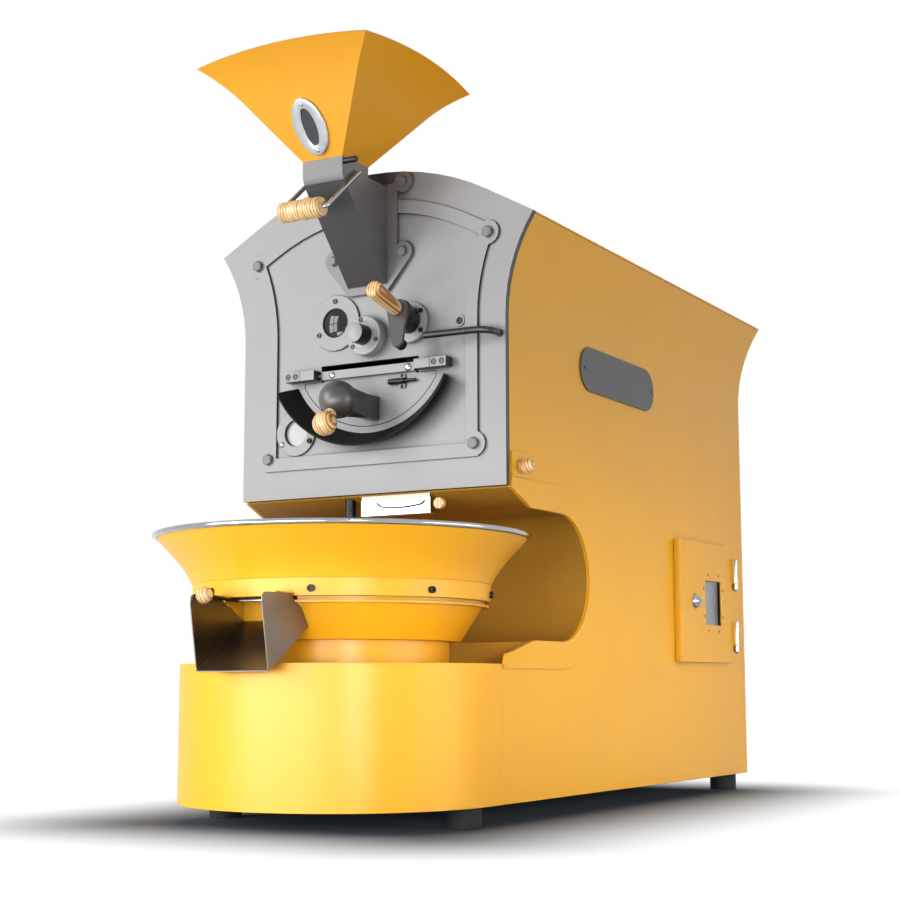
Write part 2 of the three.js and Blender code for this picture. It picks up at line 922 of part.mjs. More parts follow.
function bearingHousing() {
  const at = (y) => [0, y, drumAxisZ];
  const body = rod(bearingRadius, at(-bearingProud), at(0), midSteps);
  const cap = rod(bearingCapRadius, at(-bearingCapProud), at(-bearingProud / 2), midSteps);
  const bore = rod(shaftRadius + shaftClear, at(-bearingCapProud + overrun), at(overrun), midSteps);
  return cut(join(body, cap), bore);
}

// The flared band round the lower half of the door, its front corners rounded
function beanGuide() {
  const whole = guideTurn - guideRound;
  const middle = Array.from({ length: guideSteps + 1 }, (_, i) => whole * (2 * i / guideSteps - 1));
  const end = Array.from({ length: guideRoundSteps }, (_, i) => (
    whole + guideRound * Math.sin(Math.PI / 2 * (i + 1) / guideRoundSteps)));
  const turns = [...end.map((turn) => -turn).reverse(), ...middle, ...end];
  const loops = turns.map((turn) => {
    const past = Math.min(1, Math.max(0, (Math.abs(turn) - whole) / guideRound));
    const share = 1 - guideRoundShare * (1 - Math.sqrt(1 - past * past));
    const at = (radius, y) => [radius * Math.sin(turn), y, drumAxisZ - radius * Math.cos(turn)];
    const front = guideRadius + guideFlare * share;
    const frontY = -guideReach * share;
    return [at(guideRadius, 0), at(front, frontY), at(front + sheet, frontY), at(guideRadius + sheet, 0)];
  });
  return skin(loops, false);
}

function hingeBlock(side) {
  const block = box(blockStart, blockStart + blockLength, -blockProud, 0, blockLow, blockHigh);
  const room = hingePin + seat;
  const bore = rod(room, [blockStart - overrun, hingeY, hingeZ],
    [blockStart + hingePinLength, hingeY, hingeZ]);
  return cut(block, bore).scale(side, 1, 1);
}

function samplerSeat() {
  const hole = samplerTube + shaftClear;
  const at = (run) => [samplerX, -run * Math.cos(samplerTilt), samplerZ + run * Math.sin(samplerTilt)];
  const flange = rod(samplerFlangeRadius, [samplerX, -samplerFlange, samplerZ],
    [samplerX, 0, samplerZ], midSteps);
  const hub = rod(samplerHubRadius, at(0), at(samplerHubReach), midSteps);
  const behind = box(samplerX - 2 * samplerHubRadius, samplerX + 2 * samplerHubRadius,
    0, 2 * samplerHubRadius, samplerZ - 2 * samplerHubRadius, samplerZ + 2 * samplerHubRadius);
  const bore = rod(hole, at(-samplerHubRadius), at(2 * samplerHubReach));
  return cut(join(flange, hub), behind, bore);
}

function front() {
  add('front_plate', frontPlate(), greyCoat);
  add('face_frame', faceFrame(), greyCoat);
  add('sight_glass_flange', sightRing(), greyCoat);
  add('sight_glass', sightGlass(), darkGlass);
  add('port_flange', portFlangeSolid(), greyCoat);
  add('bearing_housing', bearingHousing(), greyCoat);
  add('bean_guide', beanGuide(), blackSteel);
  add('hinge_block_left', hingeBlock(-1), greyCoat);
  add('hinge_block_right', hingeBlock(1), greyCoat);
  add('sampler_seat', samplerSeat(), darkCoat);
}

// Rods, and what slips over them

function corner(before, at, after, bend) {
  const start = at.clone().add(before.clone().sub(at).setLength(bend));
  const end = at.clone().add(after.clone().sub(at).setLength(bend));
  return new THREE.QuadraticBezierCurve3(start, at, end).getPoints(bendSteps);
}

// A round rod bent at each inner point of its path
function bentRod(radius, bend, path, sides = rodSteps) {
  const points = path.map((p) => new THREE.Vector3(...p));
  const line = points.flatMap((p, i) => (
    i === 0 || i === points.length - 1 ? [p] : corner(points[i - 1], p, points[i + 1], bend)));
  const steepness = (v) => Math.abs(v.z);
  let normal = new THREE.Vector3(0, 0, 1);
  if (steepness(line[1].clone().sub(line[0]).normalize()) > 1 - bend / (bend + overrun)) normal.set(1, 0, 0);
  const loops = line.map((p, i) => {
    const along = line[Math.min(i + 1, line.length - 1)].clone().sub(line[Math.max(i - 1, 0)]).normalize();
    normal = normal.clone().addScaledVector(along, -normal.dot(along)).normalize();
    const across = along.clone().cross(normal);
    return Array.from({ length: sides }, (_, j) => {
      const turn = 2 * Math.PI * j / sides;
      return p.clone().addScaledVector(normal, radius * Math.cos(turn))
        .addScaledVector(across, radius * Math.sin(turn)).toArray();
    });
  });
  return skin(loops, false);
}

// A knob or grip with the blind hole that its rod ends in
function socketed(knob, radius, from, to) {
  return cut(knob, rod(radius + seat, from, to));
}

function alongRun(origin, direction) {
  return (run) => origin.map((value, i) => value + run * direction[i]);
}

// Chute and gate

// The chute from the side: a lip, a rounded bend, and a slope down to the bracket
function chuteOutline(inset) {
  const front = hopperY - neckHalf + inset;
  const slope = Math.atan2(chuteLipZ - chuteFootZ, -bracketThickness - front + inset);
  const back = inset > 0 ? -bracketThickness : -bracketThickness / 2;
  const rise = (y) => chuteFootZ + inset / Math.cos(slope) - (y + bracketThickness) * Math.tan(slope);
  const top = chuteTop + (inset > 0 ? overrun : 0);
  const shape = new THREE.Shape();
  shape.moveTo(front, top);
  shape.lineTo(front, rise(front) + chuteBend);
  shape.quadraticCurveTo(front, rise(front), front + chuteBend * Math.cos(slope),
    rise(front) - chuteBend * Math.sin(slope));
  shape.lineTo(back, rise(back));
  shape.lineTo(back, chuteCover - inset);
  shape.lineTo(hopperY + neckHalf - inset, chuteCover - inset);
  shape.lineTo(hopperY + neckHalf - inset, top);
  return shape;
}

function beanChute() {
  const front = -bracketThickness;
  const outline = polygon([
    [-bracketWaist, bracketUpperZ], [-bracketWaist, bracketKneeZ], [-bracketFootHalf, bracketFoot],
    [bracketFootHalf, bracketFoot], [bracketWaist, bracketKneeZ], [bracketWaist, bracketUpperZ],
  ]);
  const ears = [bracketUpperZ, bracketLowerZ].flatMap((z) => [-bracketEarX, bracketEarX]
    .map((x) => slabXZ(disc(x, z, bracketEar, bracketEar, knobSteps), front, 0)));
  const webs = [-1, 1].map((side) => slabXZ(polygon([
    [side * (bracketWaist - bracketEar), bracketLowerZ + bracketEar],
    [side * (bracketWaist - bracketEar), bracketFoot + bracketEar],
    [side * bracketFootHalf, bracketFoot],
    [side * (bracketEarX + bracketEar * Math.SQRT1_2), bracketLowerZ - bracketEar * Math.SQRT1_2],
  ]), front, 0));
  const walls = slabYZ(chuteOutline(0), -neckHalf, neckHalf, cornerSteps);
  const pin = rod(chutePinRadius, [neckHalf - sheet, chutePinY, chutePinZ],
    [neckHalf + chutePinLength, chutePinY, chutePinZ]);
  const whole = join(walls, slabXZ(outline, front, 0), ...ears, ...webs, pin);
  const inner = slabYZ(chuteOutline(sheet), sheet - neckHalf, neckHalf - sheet, cornerSteps);
  const inlet = box(-inletHalf, inletHalf, front - overrun, overrun, inletLow, inletHigh);
  const bore = rod(gateShaft + shaftClear, [-2 * neckHalf, hopperY, gateAxisZ],
    [2 * neckHalf, hopperY, gateAxisZ]);
  return cut(whole, inner, inlet, bore);
}

const gripY = hopperY - bailReach * Math.cos(bailDrop);
const gripZ = gateAxisZ - bailReach * Math.sin(bailDrop);

function gateLever() {
  const shaft = rod(gateShaft, [-gateShaftHalf, hopperY, gateAxisZ], [gateShaftHalf, hopperY, gateAxisZ]);
  const start = gateShaftHalf - gateShaft;
  const flap = box(-gateFlapHalf, gateFlapHalf, hopperY - gateFlapHalf, hopperY + gateFlapHalf,
    gateAxisZ - gateFlap / 2, gateAxisZ + gateFlap / 2);
  const bail = bentRod(bailRadius, bailBend, [
    [-start, hopperY, gateAxisZ], [-bailHalf, hopperY, gateAxisZ], [-bailHalf, gripY, gripZ],
    [bailHalf, gripY, gripZ], [bailHalf, hopperY, gateAxisZ], [start, hopperY, gateAxisZ],
  ]);
  return join(shaft, flap, bail);
}

function gateGrip() {
  const end = gripHalf - gripRound;
  const grip = turned([
    [0, -gripHalf], [gripRadius - gripRound, -gripHalf], [gripRadius, -end],
    [gripRadius, end], [gripRadius - gripRound, gripHalf], [0, gripHalf],
  ], knobSteps).rotateY(Math.PI / 2).translate(0, gripY, gripZ);
  const bore = rod(bailRadius + seat, [-bodyWidth, gripY, gripZ], [bodyWidth, gripY, gripZ]);
  return cut(grip, bore);
}

// Hopper: four panels, each curved one way only, with arched upper edges

function hopperPoint(run, inset) {
  const past = Math.max(0, run - hopperStraight);
  const turn = past / hopperFlareRadius;
  const slope = hopperSlope - turn;
  const straight = Math.min(run, hopperStraight);
  const half = neckHalf + straight * Math.cos(hopperSlope)
    + hopperFlareRadius * (Math.sin(hopperSlope) - Math.sin(slope));
  const z = chuteTop + straight * Math.sin(hopperSlope)
    + hopperFlareRadius * (Math.cos(slope) - Math.cos(hopperSlope));
  return [half - inset * Math.sin(slope), z + inset * Math.cos(slope)];
}

function hopperLoop(share, inset) {
  const steps = hopperSteps;
  const [reach] = hopperPoint(share * hopperCornerRun, inset);
  return Array.from({ length: hopperSides * steps }, (_, j) => {
    const side = Math.floor(j / steps);
    const across = 2 * (j % steps) / steps - 1;
    const arch = (hopperMiddleRun - hopperCornerRun) * (1 - across * across);
    const [half, z] = hopperPoint(share * (hopperCornerRun + arch), inset);
    const [x, y] = [[half, across * reach], [-across * reach, half],
      [-half, -across * reach], [across * reach, -half]][side];
    return [x, hopperY + y, z];
  });
}

function neckLoop(inset) {
  return hopperLoop(0, 0).map(([x, y, z]) => (
    [x * (1 - inset / neckHalf), hopperY + (y - hopperY) * (1 - inset / neckHalf), z]));
}

const straightShare = hopperStraight / hopperMiddleRun;

function hopper() {
  const shares = [0, ...Array.from({ length: flareSteps + 1 }, (_, i) => (
    straightShare + (1 - straightShare) * i / flareSteps))];
  const outer = shares.map((share) => hopperLoop(share, 0));
  const inner = shares.slice(1).map((share) => hopperLoop(share, sheet)).reverse();
  const shell = skin([...outer, ...inner, neckLoop(sheet / Math.sin(hopperSlope))], true);
  const hole = onHopper(slabXY(disc(0, 0, windowGlassHalfWidth, windowGlassHalfHeight),
    -2 * sheet - overrun, overrun));
  return cut(shell, hole);
}

// From a flat drawing to the front panel of the hopper, at the middle of its oval window
function onHopper(geometry) {
  const turn = new THREE.Matrix4().makeBasis(
    new THREE.Vector3(1, 0, 0),
    new THREE.Vector3(0, -Math.cos(hopperSlope), Math.sin(hopperSlope)),
    new THREE.Vector3(0, -Math.sin(hopperSlope), -Math.cos(hopperSlope)));
  const [half, z] = hopperPoint(windowRun, 0);
  return geometry.applyMatrix4(turn).translate(0, hopperY - half, z);
}

function hopperWindowFrame() {
  const shape = disc(0, 0, windowHalfWidth, windowHalfHeight);
  shape.holes.push(disc(0, 0, windowGlassHalfWidth, windowGlassHalfHeight));
  const room = slabXY(disc(0, 0, windowGlassHalfWidth + windowLap, windowGlassHalfHeight + windowLap),
    -overrun, windowFrame / 2);
  return onHopper(cut(slabXY(shape, 0, windowFrame), room));
}

function hopperWindowGlass() {
  const lap = windowLap - seat;
  const shape = disc(0, 0, windowGlassHalfWidth + lap, windowGlassHalfHeight + lap);
  return onHopper(slabXY(shape, 0, windowFrame / 2));
}

function feeding() {
  add('bean_chute', beanChute(), greyCoat);
  add('hopper', hopper(), yellowCoat);
  add('hopper_window_frame', hopperWindowFrame(), chromeSteel);
  add('hopper_window_glass', hopperWindowGlass(), smokedGlass);
  const gate = moving('gate');
  add('gate_lever', gateLever(), brushedSteel, gate);
  add('gate_grip', gateGrip(), pine, gate);
}

// Discharge door with its weight and knob

function dischargeDoor() {
  const face = dischargeOutline(0).map(([x, z]) => [x, 0, z]);
  const back = dischargeOutline(-doorTaper).map(([x, z]) => [x, doorThickness, z]);
  const half = doorThickness / 2;
  const tongue = box(-hingeBarHalf, hingeBarHalf, 0, half, doorTop - overrun, hingeBarHigh);
  const strip = box(-hingeBarHalf, hingeBarHalf, -hingeBarDepth, half, hingeBarLow, hingeBarHigh);
  const end = blockStart + hingePinLength - shaftClear;
  const pin = rod(hingePin, [-end, hingeY, hingeZ], [end, hingeY, hingeZ]);
  const latch = box(latchX - latchPlateHalf, latchX + latchPlateHalf, -latchPlateProud, half,
    latchZ - latchPlateHigh, latchZ + latchPlateHigh);
  const barrel = rod(latchBarrel, [latchLeft, -latchBarrel, latchZ],
    [latchX + latchPlateHalf, -latchBarrel, latchZ]);
  const bolt = rod(latchBarrel / 2, [latchX, -latchBarrel, latchZ], [latchRight, -latchBarrel, latchZ]);
  return join(skin([face, back], false), tongue, strip, pin, latch, barrel, bolt);
}

const knobRun = alongRun([weightX, weightY, weightZ], [0, -Math.cos(doorKnobDip), -Math.sin(doorKnobDip)]);

function doorWeight() {
  const foot = (front, back) => box(weightBlockLeft, weightBlockRight, front, back, weightBlockLow,
    weightBlockHigh);
  const toFoot = new THREE.Vector3((weightBlockLeft + weightBlockRight) / 2 - weightX,
    -weightBlockDepth - weightY, (weightBlockLow + weightBlockHigh) / 2 - weightZ);
  const neckRun = alongRun([weightX, weightY, weightZ], toFoot.normalize().toArray());
  const away = weightRadius * weightNeckShare;
  const waist = Math.sqrt(weightRadius ** 2 - away ** 2) - seat;
  const neck = rod(waist, neckRun(away), neckRun(away + seat), midSteps);
  const stem = rod(doorKnobStem, knobRun(0), knobRun(doorKnobReach - doorKnobRadius / 2));
  return join(ball(weightRadius, [weightX, weightY, weightZ], knobSteps),
    blended(neck, foot(-weightBlockDepth, seat - weightBlockDepth)), foot(-weightBlockDepth, 0), stem);
}

function doorKnob() {
  const knob = ball(doorKnobRadius, knobRun(doorKnobReach), knobSteps);
  const neck = rod(doorKnobNeck, knobRun(weightRadius + seat), knobRun(doorKnobReach));
  return socketed(join(knob, neck), doorKnobStem, knobRun(0),
    knobRun(doorKnobReach - doorKnobRadius / 2 + seat));
}

// Sampler: a scoop that slides out along its tilted axis

const samplerRun = alongRun([samplerX, 0, samplerZ], [0, -Math.cos(samplerTilt), Math.sin(samplerTilt)]);

function tilted(geometry) {
  return geometry.rotateX(Math.PI / 2 - samplerTilt).translate(samplerX, 0, samplerZ);
}

function sampler() {
  const armBack = samplerHubReach + shaftClear;
  const armFront = armBack + samplerArmThickness;
  const tube = rod(samplerTube, samplerRun(-samplerTubeDepth), samplerRun(armFront));
  const bore = rod(samplerTube - samplerWall, samplerRun(-samplerTubeDepth + samplerWall),
    samplerRun(samplerScoop - samplerTubeDepth));
  const mouth = tilted(box(-samplerTube, samplerTube, 0, 2 * samplerTube,
    -samplerTubeDepth + samplerWall, samplerScoop - samplerTubeDepth));
  const arm = new THREE.Shape();
  arm.absarc(0, 0, samplerHubRadius - samplerWall, 0, Math.PI, false);
  arm.absarc(samplerArmSide, -samplerArmLength, samplerArmTip, Math.PI, 2 * Math.PI, false);
  const plate = tilted(extruded(arm, samplerArmThickness, slabSteps).translate(0, 0, armBack));
  const tang = rod(samplerTang, samplerRun(armFront - samplerWall),
    samplerRun(armFront + samplerTangLength));
  const pin = tilted(new THREE.CylinderGeometry(samplerPin, samplerPin, samplerPinLength, smallSteps)
    .rotateX(Math.PI / 2)
    .translate(samplerArmSide, -samplerArmLength, armFront - samplerWall - samplerPinLength / 2));
  return join(cut(tube, bore, mouth), plate, tang, pin);
}

function samplerGrip() {
  const start = samplerHubReach + samplerArmThickness + 2 * shaftClear;
  const end = start + samplerGripLength;
  const round = samplerGripRound;
  const grip = tilted(turned([
    [0, start], [samplerGripThin - round / 2, start], [samplerGripThin, start + round],
    [samplerGripThick, end - samplerGripThick], [samplerGripThick, end - round],
    [samplerGripThick - round / 2, end - samplerGripDome], [0, end],
  ], knobSteps));
  return socketed(grip, samplerTang, samplerRun(0), samplerRun(start + samplerTangLength));
}

function airflowLever() {
  const kneeX = leverPivotX - leverReach * leverKneeShare;
  return bentRod(leverRadius, leverBend, [
    [leverPivotX, plateThickness + leverTail, leverPivotZ],
    [leverPivotX, -leverKneeStandOff, leverPivotZ],
    [kneeX, -leverKneeStandOff, leverPivotZ + leverRise],
    [leverPivotX - leverReach, -leverStandOff, leverPivotZ + leverTipRise],
  ], smallSteps);
}

function discharging() {
  const door = moving('door');
  add('discharge_door', dischargeDoor(), greyCoat, door);
  add('door_weight', doorWeight(), castIron, door);
  add('door_knob', doorKnob(), pine, door);
  const trier = moving('trier');
  add('sampler', sampler(), brushedSteel, trier);
  add('sampler_grip', samplerGrip(), pine, trier);
  add('airflow_lever', airflowLever(), blackSteel, moving('airflow'));
}

function moving(name, parent = machine) {
  const group = new THREE.Group();
  group.name = `${name}_set`;
  parent.add(group);
  return group;
}

// Cooling bowl

function atBowl(geometry) {
  return geometry.translate(0, bowlAxisY, 0);
}

// The edge of the bowl ends just short of the bead, square to it
const rimSlope = Math.atan2(rimZ - flareMiddleZ, rimRadius - rimBead - flareMiddleRadius);
const rimShort = rimBead + seat;
const bowlCurve = [
  [bowlFloorRadius, bowlFloorZ], [bandTopRadius, bandTopZ],
  [bandTopRadius + flareFoot, bandTopZ + flareKnee], [flareMiddleRadius, flareMiddleZ],
  [rimRadius - rimBead - rimShort * Math.cos(rimSlope) + sheet / 2,
    rimZ - rimShort * Math.sin(rimSlope) - sheet / 2],
];

function coolingBowl() {
  const inner = bowlCurve.map(([r, z]) => [r - sheet, z + sheet / 2]).reverse();
  const floor = bowlFloorZ + sheet;
  inner[inner.length - 1] = [bowlFloorRadius - sheet, floor];
  const ledge = bowlFloorRadius - floorLedge;
  return atBowl(closedTurn([[ledge, bowlFloorZ], ...bowlCurve, ...inner, [ledge, floor]]));
}

// The round bead that is welded on the edge of the bowl
function bowlRim() {
  const section = arc(rimRadius - rimBead, rimZ, rimBead, 0, 2 * Math.PI, rimSteps).slice(0, rimSteps);
  return atBowl(closedTurn(section));
}

function sieve() {
  const low = bowlFloorZ + sheet;
  const length = sieveSlotShare * bowlFloorRadius;
  const slots = [];
  for (let ring = 0; ring < sieveRings; ring += 1) {
    const radius = (sieveFirstShare + ring * sievePitchShare) * bowlFloorRadius;
    const count = sieveFewest + ring * sieveMore;
    for (let i = 0; i < count; i += 1) {
      const turn = 2 * Math.PI * (i + (ring % 2) / 2) / count;
      const reach = radius + length / 2;
      const clear = Math.abs(reach * Math.cos(turn)) > outletHalf + sieveSlot
        || bowlAxisY + reach * Math.sin(turn) > outletBack + sieveSlot;
      if (clear) {
        slots.push(new THREE.BoxGeometry(length, sieveSlot, 2 * overrun)
          .translate(radius, 0, low).rotateZ(turn));
      }
    }
  }
  const bore = rod(stirrerShaft + stirrerClear, [0, 0, low - overrun], [0, 0, low + overrun]);
  const plate = rod(bowlFloorRadius - sheet - 2 * seat, [0, 0, low], [0, 0, low + sieveThickness], bigSteps);
  const notch = box(-outletHalf, outletHalf, outletBack - outletRun - 2 * floorLedge, outletBack,
    low - overrun, low + overrun);
  return cut(atBowl(cut(plate, bore, ...slots)), notch);
}

const outletBack = bowlAxisY - (bowlFloorRadius - floorLedge) + outletRun;

function plenum() {
  const outer = [
    [neckRadius, baseTop], [neckRadius, plenumLowZ], [plenumLowRadius, plenumLowZ],
    [plenumTopRadius, plenumTopZ], [bowlFloorRadius, plenumTopZ],
    [bowlFloorRadius, plenumTopZ + lipThickness], [bowlFloorRadius - stepInset, plenumTopZ + lipThickness],
    [bowlFloorRadius - stepInset, bowlFloorZ],
  ];
  const innerTop = plenumTopRadius - sheet;
  const inner = [
    [innerTop, bowlFloorZ], [innerTop, plenumTopZ + sheet], [plenumLowRadius - sheet, plenumLowZ + sheet],
    [neckRadius - sheet, plenumLowZ + sheet], [neckRadius - sheet, baseTop],
  ];
  const shell = atBowl(closedTurn([...outer, ...inner]));
  const filled = atBowl(turned([[0, baseTop], ...outer, [0, bowlFloorZ]]));
  const half = spoutHalf + seat;
  const front = bowlAxisY - 2 * bowlFloorRadius;
  const back = spoutBackY + seat;
  const boxing = box(-half - outletWall, half + outletWall, front, back + outletWall, baseTop, bowlFloorZ);
  const under = (y) => spoutFootZ - 2 * seat + (y - spoutFootY) * spoutFall;
  const room = slabYZ(polygon([[front, under(front)], [back, under(back)], [back, 2 * bowlFloorZ],
    [front, 2 * bowlFloorZ]]), -half, half);
  return cut(join(shell, common(filled, boxing)), room);
}

// Spout: a folded channel that slopes down to the front
function spout() {
  const fall = Math.atan(spoutFall);
  const wall = new THREE.Shape();
  wall.moveTo(spoutFootY, spoutFootZ);
  wall.lineTo(spoutBackY, spoutBackZ);
  wall.lineTo(spoutCornerY, spoutCornerZ);
  wall.lineTo(spoutCornerY, spoutTopZ);
  wall.lineTo(spoutReachY + spoutShoulder, spoutTopZ);
  wall.quadraticCurveTo(spoutReachY, spoutTopZ, spoutReachY, spoutShoulderZ);
  const rise = spoutSheet / Math.cos(fall);
  const reach = spoutFootY - spoutReachY + overrun;
  const room = polygon([
    [spoutFootY - reach, spoutFootZ + rise - reach * Math.tan(fall)],
    [spoutBackY + overrun, spoutBackZ + rise + overrun * Math.tan(fall)],
    [spoutBackY + overrun, spoutTopZ + overrun],
    [spoutFootY - reach, spoutTopZ + overrun],
  ]);
  const inside = spoutHalf - spoutSheet;
  return cut(slabYZ(wall, -spoutHalf, spoutHalf, slabSteps), slabYZ(room, -inside, inside));
}

function outletGate() {
  const outer = bowlAxisY - (bowlFloorRadius - floorLedge) - gateLap;
  const plate = polygon([
    [-outletHalf - gateLap / 2, outer], [gatePivotX, gatePivotY - gateEye],
    [gatePivotX + gateEye, gatePivotY], [outletHalf + gateLap, outletBack],
    [-outletHalf - gateLap / 2, outletBack],
  ]);
  const eye = disc(gatePivotX, gatePivotY, gateEye);
  const low = gatePlateZ;
  const high = low + gatePlate;
  const middle = (low + high) / 2;
  const clearY = bowlAxisY - bowlFloorRadius - 2 * outletRod;
  const pinLow = plenumTopZ - gateTongue;
  return join(slabXY(plate, low, high), slabXY(eye, low, high),
    bentRod(outletRod, outletRod, [[outletKnobX + gateLap, outer + gateTongue, middle],
      [outletKnobX + gateLap, clearY, middle], outletRodEnd]),
    rod(outletRod, [gatePivotX, gatePivotY, pinLow], [gatePivotX, gatePivotY, high]));
}

const outletRodEnd = [outletKnobX, outletKnobY + outletKnobRadius / 2, outletKnobZ];

function outletKnob() {
  const knob = ball(outletKnobRadius, [outletKnobX, outletKnobY, outletKnobZ], knobSteps);
  const clearY = bowlAxisY - bowlFloorRadius - 2 * outletRod;
  const from = [outletKnobX + gateLap, clearY, gatePlateZ + gatePlate / 2];
  const run = new THREE.Vector3(...outletRodEnd).sub(new THREE.Vector3(...from));
  const past = new THREE.Vector3(...from).addScaledVector(run, 1 + seat / run.length());
  return socketed(knob, outletRod, from, past.toArray());
}

function stirrer() {
  const low = bowlFloorZ + sheet + sieveThickness + stirrerClear;
  const hubTop = low + stirrerHubHeight;
  const hub = turned([
    [0, low], [stirrerHubRadius, low], [stirrerHubRadius, hubTop],
    [stirrerHubRadius / 2, stirrerTop - stirrerShaft / 2], [0, stirrerTop],
  ], knobSteps);
  const shaft = rod(stirrerShaft, [0, 0, baseTop - stirrerFlangeHeight], [0, 0, low + stirrerArmHeight]);
  const arms = [0, 1].map((i) => {
    const armLow = hubTop - stirrerArmHeight - overrun;
    const arm = box(0, stirrerArmReach, -stirrerArmWidth / 2, stirrerArmWidth / 2,
      armLow, armLow + stirrerArmHeight);
    const middles = i ? stirrerInnerShares : stirrerOuterShares;
    const blades = middles.map((share) => (
      new THREE.BoxGeometry(bladeLength, bladeThickness, bladeHeight)
        .rotateZ(bladeTurn)
        .translate(share * stirrerArmReach, 0, low + bladeHeight / 2)));
    return join(arm, ...blades).rotateZ(Math.PI * i);
  });
  return atBowl(join(hub, shaft, ...arms));
}

function stirrerMotor() {
  const top = baseTop - sheet;
  const flange = rod(stirrerFlangeRadius, [0, 0, top - stirrerFlangeHeight], [0, 0, top], midSteps);
  const body = rod(stirrerMotorRadius, [0, 0, top - stirrerMotorHeight], [0, 0, top - sheet], midSteps);
  const bore = rod(stirrerShaft + shaftClear, [0, 0, top - 2 * stirrerFlangeHeight - overrun],
    [0, 0, baseTop]);
  return atBowl(cut(join(flange, body), bore));
}

function catchPan() {
  const back = panFront + panDepth;
  const low = panTop - panHeight;
  const tray = box(panLeft, panRight, panFront, back, low, panTop);
  const room = box(panLeft + spoutSheet, panRight - spoutSheet, panFront + spoutSheet, back - spoutSheet,
    low + spoutSheet, panTop + overrun);
  return cut(tray, room);
}

function cooling() {
  add('cooling_bowl', coolingBowl(), yellowCoat);
  add('bowl_rim', bowlRim(), chromeSteel);
  add('sieve', sieve(), brushedSteel);
  add('cooling_plenum', plenum(), yellowCoat);
  add('spout', spout(), brushedSteel);
  add('stirrer_motor', stirrerMotor(), enginePaint);
  add('stirrer', stirrer(), brushedSteel, moving('stirring'));
  const outlet = moving('outlet');
  add('outlet_gate', outletGate(), blackSteel, outlet);
  add('outlet_knob', outletKnob(), pine, outlet);
  add('catch_pan', catchPan(), chromeSteel);
}

// Roasting drum and what surrounds it

function vane(turn) {
  const steps = vaneSteps;
  const inner = drumRadius - drumSheet - vaneHeight;
  const outer = drumRadius - drumSheet / 2;
  const loops = Array.from({ length: steps + 1 }, (_, i) => {
    const share = i / steps;
    const y = drumFront + drumSheet / 2 + share * (drumLength - drumSheet);
    const at = turn + share * vaneTwist;
    const half = drumSheet / 2;
    const [cos, sin] = [Math.cos(at), Math.sin(at)];
    return [[inner, -half], [outer, -half], [outer, half], [inner, half]]
      .map(([r, t]) => [r * cos - t * sin, y, r * sin + t * cos]);
  });
  return skin(loops, false);
}

function drum() {
  const back = drumFront + drumLength;
  const wall = drumRadius - drumSheet;
  const spiderY = drumFront + spiderShare * drumLength;
  const shell = alongY(closedTurn([
    [drumMouth, -drumFront], [drumRadius, -drumFront], [drumRadius, -back], [shaftRadius / 2, -back],
    [shaftRadius / 2, drumSheet - back], [wall, drumSheet - back], [wall, -drumFront - drumSheet],
    [drumMouth, -drumFront - drumSheet],
  ], bigSteps));
  const vanes = Array.from({ length: vaneCount }, (_, i) => vane(2 * Math.PI * i / vaneCount));
  const spokes = Array.from({ length: 3 }, (_, i) => box(0, wall + drumSheet / 2, spiderY - spiderDepth / 2,
    spiderY + spiderDepth / 2, -spokeWidth / 2, spokeWidth / 2)
    .rotateY(2 * Math.PI * i / 3 + vaneTwist / 3));
  const hub = rod(hubRadius, [0, spiderY - spiderDepth, 0], [0, spiderY + spiderDepth, 0], knobSteps);
  const shaft = rod(shaftRadius, [0, -bearingCapProud + 2 * overrun, 0],
    [0, bulkheadY + shaftTail, 0], knobSteps);
  return join(shell, ...vanes, ...spokes, hub, shaft).translate(0, 0, drumAxisZ);
}

function drumJacket() {
  const inner = jacketRadius - jacketWall;
  const half = Math.asin(jacketSlot / 2 / jacketRadius);
  const from = -Math.PI / 2 + half;
  const to = 3 * Math.PI / 2 - half;
  const section = polygon([...arc(0, drumAxisZ, jacketRadius, from, to, jacketSteps),
    ...arc(0, drumAxisZ, inner, from, to, jacketSteps).reverse()]);
  return slabXZ(section, plateThickness + seat, bulkheadY - seat);
}

function rearBulkhead() {
  const back = bulkheadY + bulkheadThickness;
  const wall = slabXZ(archedShape(sheet + 2 * seat, bulkheadFoot), bulkheadY, back, slabSteps);
  const hole = (radius, z) => rod(radius, [0, bulkheadY - overrun, z], [0, back + overrun, z], midSteps);
  return cut(wall, hole(shaftRadius + 2 * shaftClear, drumAxisZ), hole(pipeRadius - pipeWall, smokePipeZ));
}

function drumMotor() {
  const start = bulkheadY + bulkheadThickness;
  const gearbox = box(-motorBoxHalf, motorBoxHalf, start, start + motorBoxDepth,
    drumAxisZ - motorBoxHalf, drumAxisZ + motorBoxHalf * motorTopShare);
  const body = rod(motorRadius, [0, start + overrun, drumAxisZ],
    [0, start + motorBoxDepth + motorLength, drumAxisZ], midSteps);
  const bore = rod(shaftRadius + shaftClear, [0, start - overrun, drumAxisZ],
    [0, bulkheadY + shaftTail + shaftClear, drumAxisZ], knobSteps);
  return cut(join(gearbox, body), bore);
}

function burner() {
  const low = burnerTop - burnerDepth;
  const start = plateThickness + burnerTube;
  const end = bulkheadY - seat;
  const tray = box(-burnerHalf, burnerHalf, start, end, low, burnerTop);
  const room = box(sheet - burnerHalf, burnerHalf - sheet, start + sheet, end - sheet, low + sheet,
    burnerTop + overrun);
  const tubes = [-1, 0, 1].map((side) => {
    const x = side * burnerHalf / 2;
    return rod(burnerTube, [x, start + sheet / 2, low + burnerTube + sheet / 2],
      [x, end - sheet / 2, low + burnerTube + sheet / 2]);
  });
  return join(cut(tray, room), ...tubes);
}

